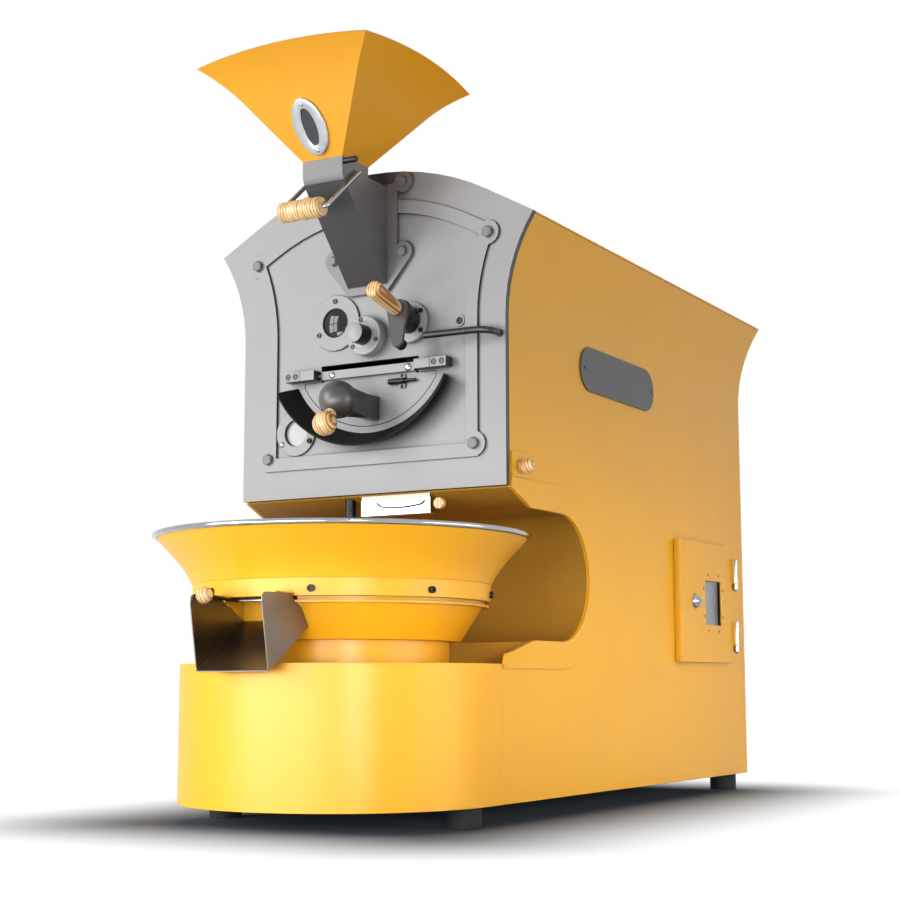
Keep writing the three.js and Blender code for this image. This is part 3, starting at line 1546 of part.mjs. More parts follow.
function pipe(z, from) {
  const to = bodyBack + pipeReach;
  const inner = pipeRadius - pipeWall;
  return alongY(closedTurn([
    [inner, -from], [pipeRadius - seat, -from], [pipeRadius - seat, -bodyBack],
    [pipeRadius + collarFlange, -bodyBack], [pipeRadius + collarFlange, -bodyBack - pipeWall],
    [pipeRadius - seat, -bodyBack - pipeWall], [pipeRadius - seat, -to], [inner, -to],
  ], midSteps)).translate(0, 0, z);
}

function coolingPipe() {
  const to = bodyBack + pipeReach;
  const inner = pipeRadius - pipeWall;
  return alongY(closedTurn([
    [inner, -bodyBack], [pipeRadius + collarFlange, -bodyBack],
    [pipeRadius + collarFlange, -bodyBack - pipeWall],
    [pipeRadius - seat, -bodyBack - pipeWall], [pipeRadius - seat, -to], [inner, -to],
  ], midSteps)).translate(0, 0, coolPipeZ);
}

function coolingFan() {
  const round = (radius, half) => slabYZ(disc(fanY, fanZ, radius), -half, half);
  const ductBack = bodyBack - sheet;
  const duct = (inset, end) => box(inset - fanHalf, fanHalf - inset, fanY, end, fanDuctLow + inset,
    fanDuctHigh - inset);
  const foot = box(-fanFootHalf, fanFootHalf, fanY - fanFootHalf, fanY + fanFootHalf,
    footHeight + sheet, fanZ - fanRadius + fanFootHalf);
  const motor = rod(fanMotorRadius, [fanHalf - sheet / 2, fanY, fanZ],
    [fanHalf + fanMotorLength, fanY, fanZ], midSteps);
  const outer = join(round(fanRadius, fanHalf), duct(0, ductBack), foot);
  const intake = rod(fanRadius / 2, [-2 * fanHalf, fanY, fanZ], [0, fanY, fanZ], midSteps);
  return join(cut(outer, round(fanRadius - sheet, fanHalf - sheet), duct(sheet, ductBack + overrun), intake),
    motor);
}

function roasting() {
  add('roasting_drum', drum(), drumSteel, moving('drum'));
  add('drum_jacket', drumJacket(), galvanised);
  add('rear_bulkhead', rearBulkhead(), galvanised);
  add('drum_motor', drumMotor(), enginePaint);
  add('burner_tray', burner(), brushedSteel);
  add('smoke_pipe', pipe(smokePipeZ, bulkheadY + bulkheadThickness), galvanised);
  add('cooling_pipe', coolingPipe(), galvanised);
  add('cooling_fan', coolingFan(), galvanised);
}

// Fittings on the right side

function nameplate() {
  const round = nameplateHeight / 2;
  const half = nameplateLength / 2 - round;
  const shape = new THREE.Shape();
  shape.absarc(nameplateY + half, nameplateZ, round, -Math.PI / 2, Math.PI / 2, false);
  shape.absarc(nameplateY - half, nameplateZ, round, Math.PI / 2, 3 * Math.PI / 2, false);
  return slabYZ(shape, halfWidth, halfWidth + nameplateThickness, slabSteps);
}

function damperSlider() {
  const outside = halfWidth + sliderThickness;
  const plate = box(halfWidth + seat, outside, sliderFront, sliderBack, sliderLow, sliderHigh);
  const stem = rod(sliderStem, [innerHalf - sliderTravel, sliderStemY, sliderStemZ],
    [halfWidth + sliderKnobOut - sliderKnobRadius / 2, sliderStemY, sliderStemZ]);
  return join(plate, stem);
}

function damperKnob() {
  const x = halfWidth + sliderKnobOut;
  return socketed(ball(sliderKnobRadius, [x, sliderStemY, sliderStemZ], knobSteps), sliderStem,
    [halfWidth, sliderStemY, sliderStemZ], [x - sliderKnobRadius / 2 + seat, sliderStemY, sliderStemZ]);
}

function cabinetDoor() {
  const inside = halfWidth + seat;
  const outside = halfWidth + doorProud;
  const pan = box(inside, outside, doorFrontY, doorBackY, doorLowZ, doorHighZ);
  const room = box(inside - overrun, outside - sheet, doorFrontY + sheet, doorBackY - sheet,
    doorLowZ + sheet, doorHighZ - sheet);
  const view = box(inside, outside + overrun, windowFrontY, windowBackY, windowLowZ, windowHighZ);
  const lockHole = rod(lockRadius, [inside, lockY, lockZ], [outside + overrun, lockY, lockZ], knobSteps);
  const barrels = [upperBarrelZ, lowerBarrelZ].map((low) => join(
    box(outside - sheet, barrelX, doorBackY - sheet, barrelY, low, low + barrelLength),
    rod(barrelRadius, [barrelX, barrelY, low], [barrelX, barrelY, low + barrelLength])));
  return join(cut(pan, room, view, lockHole), ...barrels);
}

function camLock() {
  const face = halfWidth + doorProud;
  const at = (x) => [x, lockY, lockZ];
  const bezel = rod(lockBezel, at(face), at(face + lockProud / 2), knobSteps);
  const head = rod(lockRadius - seat, at(innerHalf - 2 * camThickness), at(face + lockProud), knobSteps);
  const cam = box(innerHalf - 2 * camThickness, innerHalf - camThickness, lockY - camWidth / 2,
    lockY + camWidth / 2, lockZ - camLength, lockZ);
  return join(bezel, head, cam);
}

function cabinetBox() {
  const right = innerHalf - seat;
  const left = right - cabinetDepth;
  const wide = cabinetMargin;
  const front = cabinetOpening.front - wide - camLength / 2;
  const outer = box(left, right, front, cabinetOpening.back + wide, cabinetOpening.low - wide,
    cabinetOpening.high + wide);
  const room = box(left + sheet, right + overrun, front + sheet, cabinetOpening.back + wide - sheet,
    cabinetOpening.low - wide + sheet, cabinetOpening.high + wide - sheet);
  return cut(outer, room);
}

function fittings() {
  add('nameplate', nameplate(), darkCoat);
  const damper = moving('damper');
  add('damper_slider', damperSlider(), yellowCoat, damper);
  add('damper_knob', damperKnob(), pine, damper);
  add('cabinet_box', cabinetBox(), galvanised);
  const cabinet = moving('cabinet');
  add('cabinet_door', cabinetDoor(), yellowCoat, cabinet);
  add('cam_lock', camLock(), chromeSteel, moving('lock', cabinet));
}

casing();
front();
feeding();
discharging();
cooling();
roasting();
fittings();

// The origin goes under the middle of the box, which the spout and the pipes end along Y
machine.position.y = -(spoutReachY + bodyBack + pipeReach) / 2;
machine.name = 'machine';
const roaster = new THREE.Group();
roaster.name = 'drum_coffee_roaster';
roaster.add(machine);

export default roaster;
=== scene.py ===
# %% [markdown]
# # A countertop drum coffee roaster
# The CAD model of the roaster is already made and packed: every rigid piece has its true size and
# its place. This notebook dresses it: it gives each surface its finish, rounds the edges, makes the
# turned and bent pieces again as smooth surfaces, and adds the screws and small fittings. First it
# loads the model and finds the face of the front plate.

# %% Load the model
import math

import bpy
import numpy as np
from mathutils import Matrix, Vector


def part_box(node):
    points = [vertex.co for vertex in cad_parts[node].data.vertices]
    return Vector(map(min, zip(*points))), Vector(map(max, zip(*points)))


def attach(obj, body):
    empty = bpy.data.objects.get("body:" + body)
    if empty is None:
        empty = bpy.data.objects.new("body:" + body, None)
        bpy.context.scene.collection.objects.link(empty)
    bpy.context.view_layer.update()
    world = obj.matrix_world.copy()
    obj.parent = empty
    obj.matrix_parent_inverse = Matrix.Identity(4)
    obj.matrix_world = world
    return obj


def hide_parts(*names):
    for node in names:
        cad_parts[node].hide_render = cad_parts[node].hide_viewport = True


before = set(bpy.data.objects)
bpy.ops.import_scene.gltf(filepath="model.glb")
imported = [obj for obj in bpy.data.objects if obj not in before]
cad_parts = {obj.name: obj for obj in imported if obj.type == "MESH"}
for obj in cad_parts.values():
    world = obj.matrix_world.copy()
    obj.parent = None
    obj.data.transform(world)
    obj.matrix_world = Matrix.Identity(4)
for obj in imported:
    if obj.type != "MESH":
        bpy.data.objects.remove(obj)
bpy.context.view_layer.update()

MM = 0.001
PLATE_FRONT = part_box("front_plate")[0].y
print(len(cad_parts), "pieces, front plate at y =", round(PLATE_FRONT, 4))

# %% [markdown]
# ## Places
# Sizes are easiest to read in millimetres, measured from the machine itself: X across it, Y from
# the face of the front plate towards the back, and Z up from the floor. One function turns such a
# place into metres in the model's own frame.

# %% Places in millimetres


def at(*point):
    """Metres = millimetres / 1000, with Y counted from the plate's face. It takes three numbers, or
    an array of any shape that ends in X, Y and Z."""
    points = np.array(point if len(point) > 1 else point[0], float) * MM
    return points + np.array([0.0, PLATE_FRONT, 0.0])


# %% [markdown]
# ## The camera
# The photograph was taken from the front right, low down, with the lens tilted up a little. The
# camera's place and its lens were worked out from the straight and the round edges that show, so
# that the render can be laid over the photograph.

# %% Camera


def new_object(name, data):
    """A scene object that holds this camera, mesh or lamp."""
    made = bpy.data.objects.new(name, data)
    bpy.context.scene.collection.objects.link(made)
    return made


camera_data = bpy.data.cameras.new("camera")
camera_data.lens = 66.92
camera_data.sensor_width = 36.0
camera = new_object("camera", camera_data)
camera.location = at(1300.5, -2020.2, 189.1)
tilt, roll, heading = 7.933, 0.07, 29.98
camera.rotation_euler = [math.radians(angle) for angle in (90 + tilt, roll, heading)]
bpy.context.scene.camera = camera
bpy.context.scene.view_settings.view_transform = "Standard"

# %% [markdown]
# ## Building shaders from nodes
# A material is a small graph. One helper adds a node, sets its options, and fills its sockets,
# either with a number or with a link from another node. Colours are written as they are seen on a
# screen, so another turns them into the linear values that a renderer adds up. Many surfaces need
# one noise only, which drives their colour, their gloss and their relief.

# %% Node helpers
VECTOR = "VectorMath"


def linear(colour):
    """sRGB hex to linear: c / 12.92 for dark values, else ((c + 0.055) / 1.055) ** 2.4."""
    parts = [int(colour[i:i + 2], 16) / 255 for i in (1, 3, 5)]
    return tuple(c / 12.92 if c <= 0.04045 else ((c + 0.055) / 1.055) ** 2.4 for c in parts) + (1.0,)


def add(tree, kind, sockets=None, **options):
    """Adds a node. options are its attributes; sockets maps a name or number to a value or a link."""
    node = tree.nodes.new("ShaderNode" + kind)
    for name, value in options.items():
        setattr(node, name, value)
    for name, value in (sockets or {}).items():
        if isinstance(value, bpy.types.NodeSocket):
            tree.links.new(value, node.inputs[name])
        else:
            node.inputs[name].default_value = value
    return node


def maths(tree, operation, *values, kind="Math"):
    """One step of arithmetic on numbers or links; a kind of VECTOR does it on vectors."""
    return add(tree, kind, dict(enumerate(values)), operation=operation).outputs[0]


def new_finish(name):
    """A material without nodes, and its node tree."""
    material = bpy.data.materials.new(name)
    material.use_nodes = True
    material.node_tree.nodes.clear()
    return material, material.node_tree


def shade(tree, sockets):
    """Closes a material with a Principled shader that has these values and links."""
    shader = add(tree, "BsdfPrincipled", sockets)
    add(tree, "OutputMaterial", {"Surface": shader.outputs[0]})


def object_place(tree, stretch=(1, 1, 1), turn=(0, 0, 0)):
    """Object coordinates in metres, turned, then squeezed along each of the turned directions."""
    place = add(tree, "TexCoord").outputs["Object"]
    place = add(tree, "Mapping", {"Vector": place, "Rotation": turn}).outputs[0]
    return add(tree, "Mapping", {"Vector": place, "Scale": stretch}).outputs[0]


def grain(tree, size_mm, place=None, detail=2.0, distortion=0.0):
    """Noise with features of about size_mm: its scale is one over that size in metres."""
    sockets = {"Vector": place or object_place(tree), "Scale": 1 / (size_mm * MM),
               "Detail": detail, "Distortion": distortion}
    return add(tree, "TexNoise", sockets).outputs["Fac"]


def between(tree, factor, low, high, first=0.0, last=1.0, **options):
    """Maps first..last to low..high, and holds those values beyond them."""
    sockets = {"Value": factor, "From Min": first, "From Max": last, "To Min": low, "To Max": high}
    return add(tree, "MapRange", sockets, **options).outputs[0]


def mix(tree, factor, first, second, blend="MIX"):
    """Mixes two colours, each a value or a link, in one of the Mix node's ways."""
    sockets = {0: factor, 6: first, 7: second}
    return add(tree, "Mix", sockets, data_type="RGBA", blend_type=blend).outputs[2]


def blend_colours(tree, factor, first, second):
    """Mixes two hex colours by a factor."""
    ramp = add(tree, "ValToRGB", {"Fac": factor})
    ramp.color_ramp.elements[0].color = linear(first)
    ramp.color_ramp.elements[1].color = linear(second)
    return ramp.outputs["Color"]


def bumps(tree, height, depth_mm):
    """A bump whose full height is depth_mm."""
    sockets = {"Height": height, "Distance": depth_mm * MM, "Strength": 1.0}
    return add(tree, "Bump", sockets).outputs[0]


def clouded(name, colours, roughness, size_mm, detail=4.0, relief_mm=0.0, extra=None):
    """A finish whose colour, gloss and relief, where it has some, all follow one noise."""
    material, tree = new_finish(name)
    noise = grain(tree, size_mm, detail=detail)
    sockets = {"Base Color": blend_colours(tree, noise, *colours),
               "Roughness": between(tree, noise, *roughness), **(extra or {})}
    if relief_mm:
        sockets["Normal"] = bumps(tree, noise, relief_mm)
    shade(tree, sockets)
    return material


# %% [markdown]
# ## Powder coat
# The body is sheet steel with a baked powder coat. Powder melts into a film that is never quite
# flat: it has a fine orange peel of one to two millimetres, and a soft gloss. Over a whole panel the
# colour and the gloss drift a little. The peel is a shallow bump, and the drift is slow noise. The
# side faces of the grey sheets are painted dark: painted shade, so that their outlines show as dark
# lines. Corners and the foot of each fitting get painted shade too: an Ambient Occlusion node
# measures how much of the sky each point sees, and the colour is darkened where little of it is open.

# %% Powder coats
DRIFT_MM, SPECK_MM = 120, 0.9
FACE, EDGE = 0.6, 0.3


def painted_edge_shade(tree, colour, edge):
    """Painted shade: a plate across Y keeps its colour on its faces and gets a darker one on its side
    faces, as the Y part of the normal falls from FACE to EDGE."""
    facing = add(tree, "TexCoord").outputs["Normal"]
    along_y = add(tree, "SeparateXYZ", {0: facing}).outputs["Y"]
    share = between(tree, maths(tree, "ABSOLUTE", along_y), 0.0, 1.0, FACE, EDGE)
    return mix(tree, share, colour, linear(edge))


def corners(tree, colour, reach_mm, darkest, closed, free):
    """Painted shade: where something stands within reach less light gets in, so a factor on the
    colour follows the open share of the sky, from darkest at closed to 1 at free."""
    distance = {"Distance": reach_mm * MM}
    sky = add(tree, "AmbientOcclusion", distance, samples=8).outputs["AO"]
    return mix(tree, 1.0, colour, between(tree, sky, darkest, 1.0, closed, free), "MULTIPLY")


def powder_coat(name, colour, shadow, roughness, peel_mm=1.4, peel_depth_mm=0.02, edge=None,
                specular=0.5, corner=None):
    """Baked polyester powder: peel bump, slow drift between two close colours. edge is the colour of
    the painted shade on the side faces, and corner holds the numbers for the painted shade of
    corners()."""
    material, tree = new_finish(name)
    drift = grain(tree, DRIFT_MM, detail=3.0)
    peel = grain(tree, peel_mm)
    speck = grain(tree, SPECK_MM, detail=1.0)
    gloss = maths(tree, "MULTIPLY", drift, speck)
    paint = blend_colours(tree, drift, shadow, colour)
    # Painted shade in corners and at the foot of each fitting.
    if corner:
        paint = corners(tree, paint, **corner)
    shade(tree, {
        # Painted shade on the side faces of the sheet, where there is an edge colour.
        "Base Color": painted_edge_shade(tree, paint, edge) if edge else paint,
        "Roughness": between(tree, gloss, roughness - 0.06, roughness + 0.14),
        "Specular IOR Level": specular,
        "Normal": bumps(tree, peel, peel_depth_mm),
    })
    return material


# corner paints shade into the corners and at the foot of each fitting.
yellow_powder = powder_coat("yellow_powder_coat", "#f8b61d", "#f1ac18", 0.4,
                            corner=dict(reach_mm=24, darkest=0.5, closed=0.25, free=0.9))
# A darker copy of the yellow for the throat liner: painted shade, where little light gets in.
painted_shade_throat_yellow = powder_coat("painted_shade_yellow_powder_coat", "#b0842f", "#9f7425", 0.62, specular=0.2)
hopper_powder = powder_coat("hopper_powder_coat", "#f0a91b", "#e89f17", 0.42)
# 343434 is painted shade on the side faces of the grey sheets, and corner paints shade into its
# corners.
grey_powder = powder_coat("silver_grey_powder_coat", "#969697", "#909091", 0.42, 1.0, 0.015,
                          "#343434", corner=dict(reach_mm=90, darkest=0.1, closed=0.3, free=0.75))
light_powder = powder_coat("pale_grey_powder_coat", "#9fa0a1", "#98999a", 0.4, 1.0, 0.015)
chute_powder = powder_coat("gunmetal_powder_coat", "#757474", "#6c6b6b", 0.38, 1.0, 0.015)
# Painted shade: a charcoal coat for the thin sheet on the chute's slanted front.
painted_shade_charcoal = powder_coat("painted_shade_charcoal_coat", "#3b3a3a", "#353434", 0.5, 1.0, 0.015)
dark_powder = powder_coat("slate_grey_powder_coat", "#575758", "#505051", 0.5, 1.0, 0.02)
matt_black = powder_coat("matt_black_powder_coat", "#0a0a0a", "#070707", 0.66, 1.5, 0.015,
                         specular=0.2)
bolt_zinc = powder_coat("dull_zinc_plate", "#757677", "#6b6c6d", 0.44, 1.2, 0.01)
arm_powder = powder_coat("mid_grey_powder_coat", "#4e4e4f", "#474748", 0.42, 1.0, 0.015)
pale_enamel = powder_coat("pale_enamel", "#b2b2b2", "#a6a6a6", 0.3, 3.0, 0.01)
pane_grey = powder_coat("grey_pane", "#94989f", "#888c93", 0.2, 6.0, 0.005)
black_enamel = powder_coat("black_stove_enamel", "#201f1f", "#191818", 0.3, 1.5, 0.015)
motor_enamel = powder_coat("blue_motor_enamel", "#34506e", "#2b4560", 0.45)

# %% [markdown]
# ## Bare metals
# Brushed stainless steel carries fine parallel scratches, which stretch its highlights across them.
# Here the scratches are noise squeezed in one direction, so each streak is long and thin. Polished
# chrome has next to no scratches. Cast iron under black paint keeps the grain of the sand mould.

# %% Bare metals
STREAK_MM, STRETCH = 0.5, 40


def brushed_metal(name, colour, light, roughness, along):
    """Steel brushed along one axis: noise stretched forty times along it drives gloss and bump."""
    material, tree = new_finish(name)
    stretch = tuple(1 / STRETCH if axis == along else 1.0 for axis in "XYZ")
    streaks = grain(tree, STREAK_MM, object_place(tree, stretch), detail=3.0)
    cloud = grain(tree, 60, detail=2.0)
    shade(tree, {
        "Base Color": blend_colours(tree, cloud, colour, light),
        "Metallic": 1.0,
        "Roughness": between(tree, streaks, roughness - 0.08, roughness + 0.12),
        "Normal": bumps(tree, streaks, 0.012),
    })
    return material


def plated_metal(name, colour, light, roughness, wear_mm=25):
    """Bright plate or bare turned metal: even, with faint clouds in its gloss."""
    return clouded(name, (colour, light), (roughness * 0.7, roughness * 1.4), wear_mm,
                   extra={"Metallic": 1.0})


brushed_stainless = brushed_metal("brushed_stainless_steel", "#8f8c86", "#a3a09a", 0.34, "X")
spout_stainless = brushed_metal("spout_stainless_steel", "#746d64", "#877f75", 0.3, "Y")
chrome_plate = plated_metal("chrome_plate", "#9c9ea1", "#b2b4b6", 0.12)
satin_aluminium = plated_metal("satin_aluminium", "#aeb0b1", "#c4c5c6", 0.26)
turned_steel = plated_metal("turned_steel", "#a4a5a6", "#b6b7b8", 0.24)
zinc_plate = plated_metal("zinc_plated_steel", "#9a9b9c", "#b0b1b1", 0.32, 8)
black_oxide = plated_metal("black_oxide_steel", "#2a2a2b", "#3a3a3b", 0.38, 8)
scaled_steel = plated_metal("heat_scaled_steel", "#4b4a4b", "#67625d", 0.5, 30)
galvanised_steel = plated_metal("galvanised_steel", "#8d9090", "#a8abab", 0.42, 14)

cast_iron = clouded("black_cast_iron", ("#262626", "#313131"), (0.34, 0.46), 1.4, relief_mm=0.04,
                    extra={"Coat Weight": 1.0, "Coat Roughness": 0.42})

# %% [markdown]
# ## Wood, rubber and glass
# The knobs are turned from a striped softwood and varnished. In a turned knob the year rings of the
# plank show as bent stripes, so the pattern is flat bands through the whole solid, pushed about by
# noise. A clear coat stands for the varnish. The feet are black rubber, and the panes are dark
# because nothing behind them is lit.

# %% Wood, rubber and glass
WAVE_STEP = 314  # a Wave node of this scale has one stripe to the millimetre: 1000 * 2 pi / 20
BAND_SHARE = 0.42


def varnished_pine(name, stretch, turn, stripe_mm):
    """Year rings: bands across the turned X axis, bent by a noise and made uneven by a second one.
    Low values are the dark late wood, high ones the pale early wood. Fine fibres run along them."""
    material, tree = new_finish(name)
    place = object_place(tree, stretch, turn)
    bands = add(tree, "TexWave", {
        "Vector": place, "Scale": WAVE_STEP / stripe_mm, "Distortion": 3.5, "Detail": 2.0,
        "Detail Scale": 0.8}).outputs["Fac"]
    patches = grain(tree, 2.4 * stripe_mm, place, detail=3.0, distortion=0.5)
    fibres = grain(tree, 0.7, object_place(tree, (1.0, 0.1, 0.1), turn), detail=2.0)
    mixed = maths(tree, "MULTIPLY_ADD", bands, BAND_SHARE, patches)
    ramp = add(tree, "ValToRGB", {"Fac": mixed})
    stops = ramp.color_ramp.elements
    stops[0].position, stops[0].color = 0.46, linear("#a56b33")
    stops[1].position, stops[1].color = 0.98, linear("#f2d7a6")
    for position, colour in ((0.56, "#c98d4d"), (0.63, "#dfae6e"), (0.72, "#eac68c")):
        stops.new(position).color = linear(colour)
    shade(tree, {
        "Base Color": ramp.outputs["Color"],
        "Roughness": between(tree, fibres, 0.34, 0.5),
        "Coat Weight": 0.25,
        "Coat Roughness": 0.2,
        "Normal": bumps(tree, fibres, 0.03),
    })
    return material


pine_across = varnished_pine("varnished_pine_across", (1.0, 0.3, 0.3), np.radians((0, 0, 5)), 4.4)
pine_along = varnished_pine("varnished_pine_along", (1.0, 0.08, 1.0), np.radians((16, 0, 0)), 4.4)
pine_knob = varnished_pine("varnished_pine_knob", (1.0, 0.4, 0.25), np.radians((0, 14, 0)), 4.0)

rubber = clouded("black_nitrile_rubber", ("#0c0c0c", "#191918"), (0.7, 0.9), 3, relief_mm=0.03)
dark_glass = clouded("dark_tempered_glass", ("#0e1216", "#181d21"), (0.02, 0.06), 20, 3.0,
                     extra={"IOR": 1.45})
smoked_glass = clouded("smoked_glass", ("#2b353a", "#3a454a"), (0.06, 0.14), 20, 3.0)

# %% [markdown]
# ## Dressing the CAD pieces
# A CAD piece whose form is right only needs a finish and softer edges. No folded or machined edge
# is knife sharp, so a Bevel modifier rounds each by part of a millimetre, and its highlight draws
# the outline of the piece. Weld comes first, because the triangles are stored loose. Shallow
# corners between the facets of a curve are left alone and shaded smooth.

# %% Finishes of the CAD pieces
USUAL_ROUND_MM = 0.7


def coat(mesh, finish):
    """One finish on the whole mesh, and smooth shading on all its faces."""
    mesh.materials.clear()
    mesh.materials.append(finish)
    mesh.polygons.foreach_set("use_smooth", [True] * len(mesh.polygons))


def treat_edges(made, round_mm, round_over, split_over):
    """Rounds each edge sharper than round_over degrees, or, without a radius, only breaks the smooth
    shading at the edges sharper than split_over."""
    if not round_mm:
        made.modifiers.new("sharp edges", "EDGE_SPLIT").split_angle = math.radians(split_over)
        return
    bevel = made.modifiers.new("rounded edges", "BEVEL")
    bevel.width = round_mm * MM
    bevel.segments = 2
    bevel.limit_method = "ANGLE"
    bevel.angle_limit = math.radians(round_over)
    made.modifiers.new("flat faces shade flat", "WEIGHTED_NORMAL").weight = 100


def soften(node, finish, round_mm):
    """Weld, merge what lies flat, round each edge sharper than 30 degrees, and smooth the rest."""
    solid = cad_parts[node]
    coat(solid.data, finish)
    solid.modifiers.new("weld", "WELD").merge_threshold = 0.00001
    flat = solid.modifiers.new("flat faces", "DECIMATE")
    flat.decimate_type = "DISSOLVE"
    flat.angle_limit = math.radians(0.4)
    treat_edges(solid, round_mm, 30, 30)


plain_finishes = {
    yellow_powder: ["side_panel_left", "side_panel_right", "roof_panel", "back_panel", "base_front",
                    "base_deck", "throat_trim_right", "throat_trim_left", "cooling_plenum",
                    "damper_slider", "cabinet_door"],
    grey_powder: ["front_plate", "face_frame", "sight_glass_flange", "port_flange",
                  "hinge_block_left", "hinge_block_right", "discharge_door"],
    chute_powder: ["bean_chute"],
    dark_powder: ["nameplate"],
    # The throat liner gets the darker yellow: painted shade.
    painted_shade_throat_yellow: ["throat_liner"],
    black_enamel: ["outlet_gate"],
    motor_enamel: ["drum_motor", "stirrer_motor"],
    galvanised_steel: ["bottom_plate", "drum_jacket", "rear_bulkhead", "smoke_pipe", "cooling_pipe",
                       "cooling_fan", "cabinet_box"],
    brushed_stainless: ["sieve", "stirrer", "burner_tray"],
    spout_stainless: ["spout"],
    turned_steel: ["sampler"],
    chrome_plate: ["catch_pan"],
    scaled_steel: ["roasting_drum"],
}
rounding = {"front_plate": 1.0, "face_frame": 0.5, "spout": 0.4, "nameplate": 0.5,
            "discharge_door": 0.4, "sieve": 0, "roasting_drum": 0, "cooling_fan": 0,
            "drum_jacket": 0, "stirrer": 0, "burner_tray": 0}
for finish, nodes in plain_finishes.items():
    for node in nodes:
        soften(node, finish, rounding.get(node, USUAL_ROUND_MM))
print("finished", sum(len(nodes) for nodes in plain_finishes.values()), "CAD pieces")

# %% [markdown]
# ## Surfaces from numbers
# Everything below is a grid of points from numpy: one direction of it runs along the piece and the
# other round it. A helper joins the points into quads, closes the ends, turns all faces outwards,
# and lets the piece ride on its CAD body. It takes any number of grids, so a set of screws is one
# piece.

# %% Mesh helper
import bmesh

SAME_POINT, NO_LENGTH = 1e-6, 1e-7


def piece(name, grids, finish, body="casing", replaces=(), slot=None, round_mm=0.0, closed=False,
          sharp=40):
    """One mesh from grids of shape (along, round, 3) in metres; the round direction always closes.
    closed joins the last row to the first; otherwise both ends are capped with one flat face."""
    mesh = bpy.data.meshes.new(name)
    points, faces, start = [], [], 0
    for grid in grids:
        rows, sides = grid.shape[:2]
        index = np.arange(rows * sides).reshape(rows, sides) + start
        ring = np.concatenate([index, index[:, :1]], 1)
        if closed:
            ring = np.concatenate([ring, ring[:1]], 0)
        quads = np.stack([ring[:-1, :-1], ring[1:, :-1], ring[1:, 1:], ring[:-1, 1:]], -1)
        faces += quads.reshape(-1, 4).tolist()
        if not closed:
            faces += [index[0, ::-1].tolist(), index[-1].tolist()]
        points.append(grid.reshape(-1, 3))
        start += rows * sides
    mesh.from_pydata(np.concatenate(points), [], faces)
    shell = bmesh.new()
    shell.from_mesh(mesh)
    bmesh.ops.remove_doubles(shell, verts=shell.verts, dist=SAME_POINT)
    bmesh.ops.dissolve_degenerate(shell, edges=shell.edges, dist=NO_LENGTH)
    bmesh.ops.recalc_face_normals(shell, faces=shell.faces)
    shell.to_mesh(mesh)
    shell.free()
    coat(mesh, finish)
    made = new_object(name, mesh)
    treat_edges(made, round_mm, 35, sharp)
    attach(made, body)
    if replaces:
        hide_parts(*replaces)


# %% [markdown]
# ## Turned shapes
# A lathe turns a profile about an axis: each point is origin + run * axis + radius * (cos a, sin a)
# across it. Screws are almost turned: their heads and sockets are hexagons. So each profile point
# also says how much of a hexagon it is, from 0, a circle, to 1.

# %% Turned shapes
FRONT, SIDE, UP = (0, -1, 0), (1, 0, 0), (0, 0, 1)
LEG_SHARE = 0.45


def full_turn(steps):
    """Equal angles all round, from 0."""
    return np.linspace(0, 2 * np.pi, steps, endpoint=False)


def circle(angles):
    """Points of a circle of radius 1: (cos a, sin a)."""
    return np.stack([np.cos(angles), np.sin(angles)], -1)


def unit(vector):
    """The same direction, one long."""
    return np.array(vector, float) / np.linalg.norm(vector)


def axes_for(axis):
    """Two unit directions across an axis, and the axis itself made one long."""
    axis = unit(axis)
    first = unit(np.cross(UP if abs(axis[2]) < 0.9 else SIDE, axis))
    return first, np.cross(axis, first), axis


def turned(profile, origin, axis, sides=64):
    """Rows of radius * shape(a) across the axis at each run; millimetres in, metres out.
    shape(a) goes from a circle to a hexagon: 1 - h + h / cos(distance to the middle of a flat)."""
    profile = np.array([(*p, 0.0)[:3] for p in profile], float)
    first, second, axis = axes_for(axis)
    angle = full_turn(sides)
    flat = 1 / np.cos((angle + np.pi / 6) % (np.pi / 3) - np.pi / 6)
    reach = profile[:, 0, None] * (1 + profile[:, 2, None] * (flat - 1))
    across = np.cos(angle)[:, None] * first + np.sin(angle)[:, None] * second
    points = reach[..., None] * across + profile[:, 1, None, None] * axis
    return at(points + np.array(origin, float))


def rounded(profile, radius, steps=5):
    """Rounds the inner corners of a profile with short quadratic curves. They start radius away, or
    at LEG_SHARE of the way to the next corner if that is less."""
    points = np.array(profile, float)
    corner, ends = points[1:-1], []
    for leg in (points[:-2] - corner, points[2:] - corner):
        length = np.linalg.norm(leg, axis=1, keepdims=True)
        ends.append(corner + leg / length * np.minimum(radius, LEG_SHARE * length))
    start, corner, end = (place[:, None] for place in (ends[0], corner, ends[1]))
    t = np.linspace(0, 1, steps)[None, :, None]
    curve = (1 - t) ** 2 * start + 2 * t * (1 - t) * corner + t ** 2 * end
    return np.concatenate([points[:1], curve.reshape(-1, points.shape[1]), points[-1:]])


def lathe(name, profile, place, axis, finish, body="casing", replaces=(), slot=None, sides=64,
          **options):
    """A piece of one turned shape."""
    piece(name, [turned(profile, place, axis, sides)], finish, body, replaces, slot, **options)


def block(low, high):
    """A box between two corners as a grid of two rows of four points."""
    x, y, z = zip(low, high)
    ring = [(x[0], y[0]), (x[1], y[0]), (x[1], y[1]), (x[0], y[1])]
    return at([[(px, py, pz) for px, py in ring] for pz in z])


# %% [markdown]
# ## Bent rods
# A bent rod is a circle carried along a path. The path is a few points joined by straight runs, and
# rounded() bends its corners. At each step the circle's frame is carried on from the last one, with
# the part along the new direction taken out, so the rod doesn't twist.

# %% Bent rods


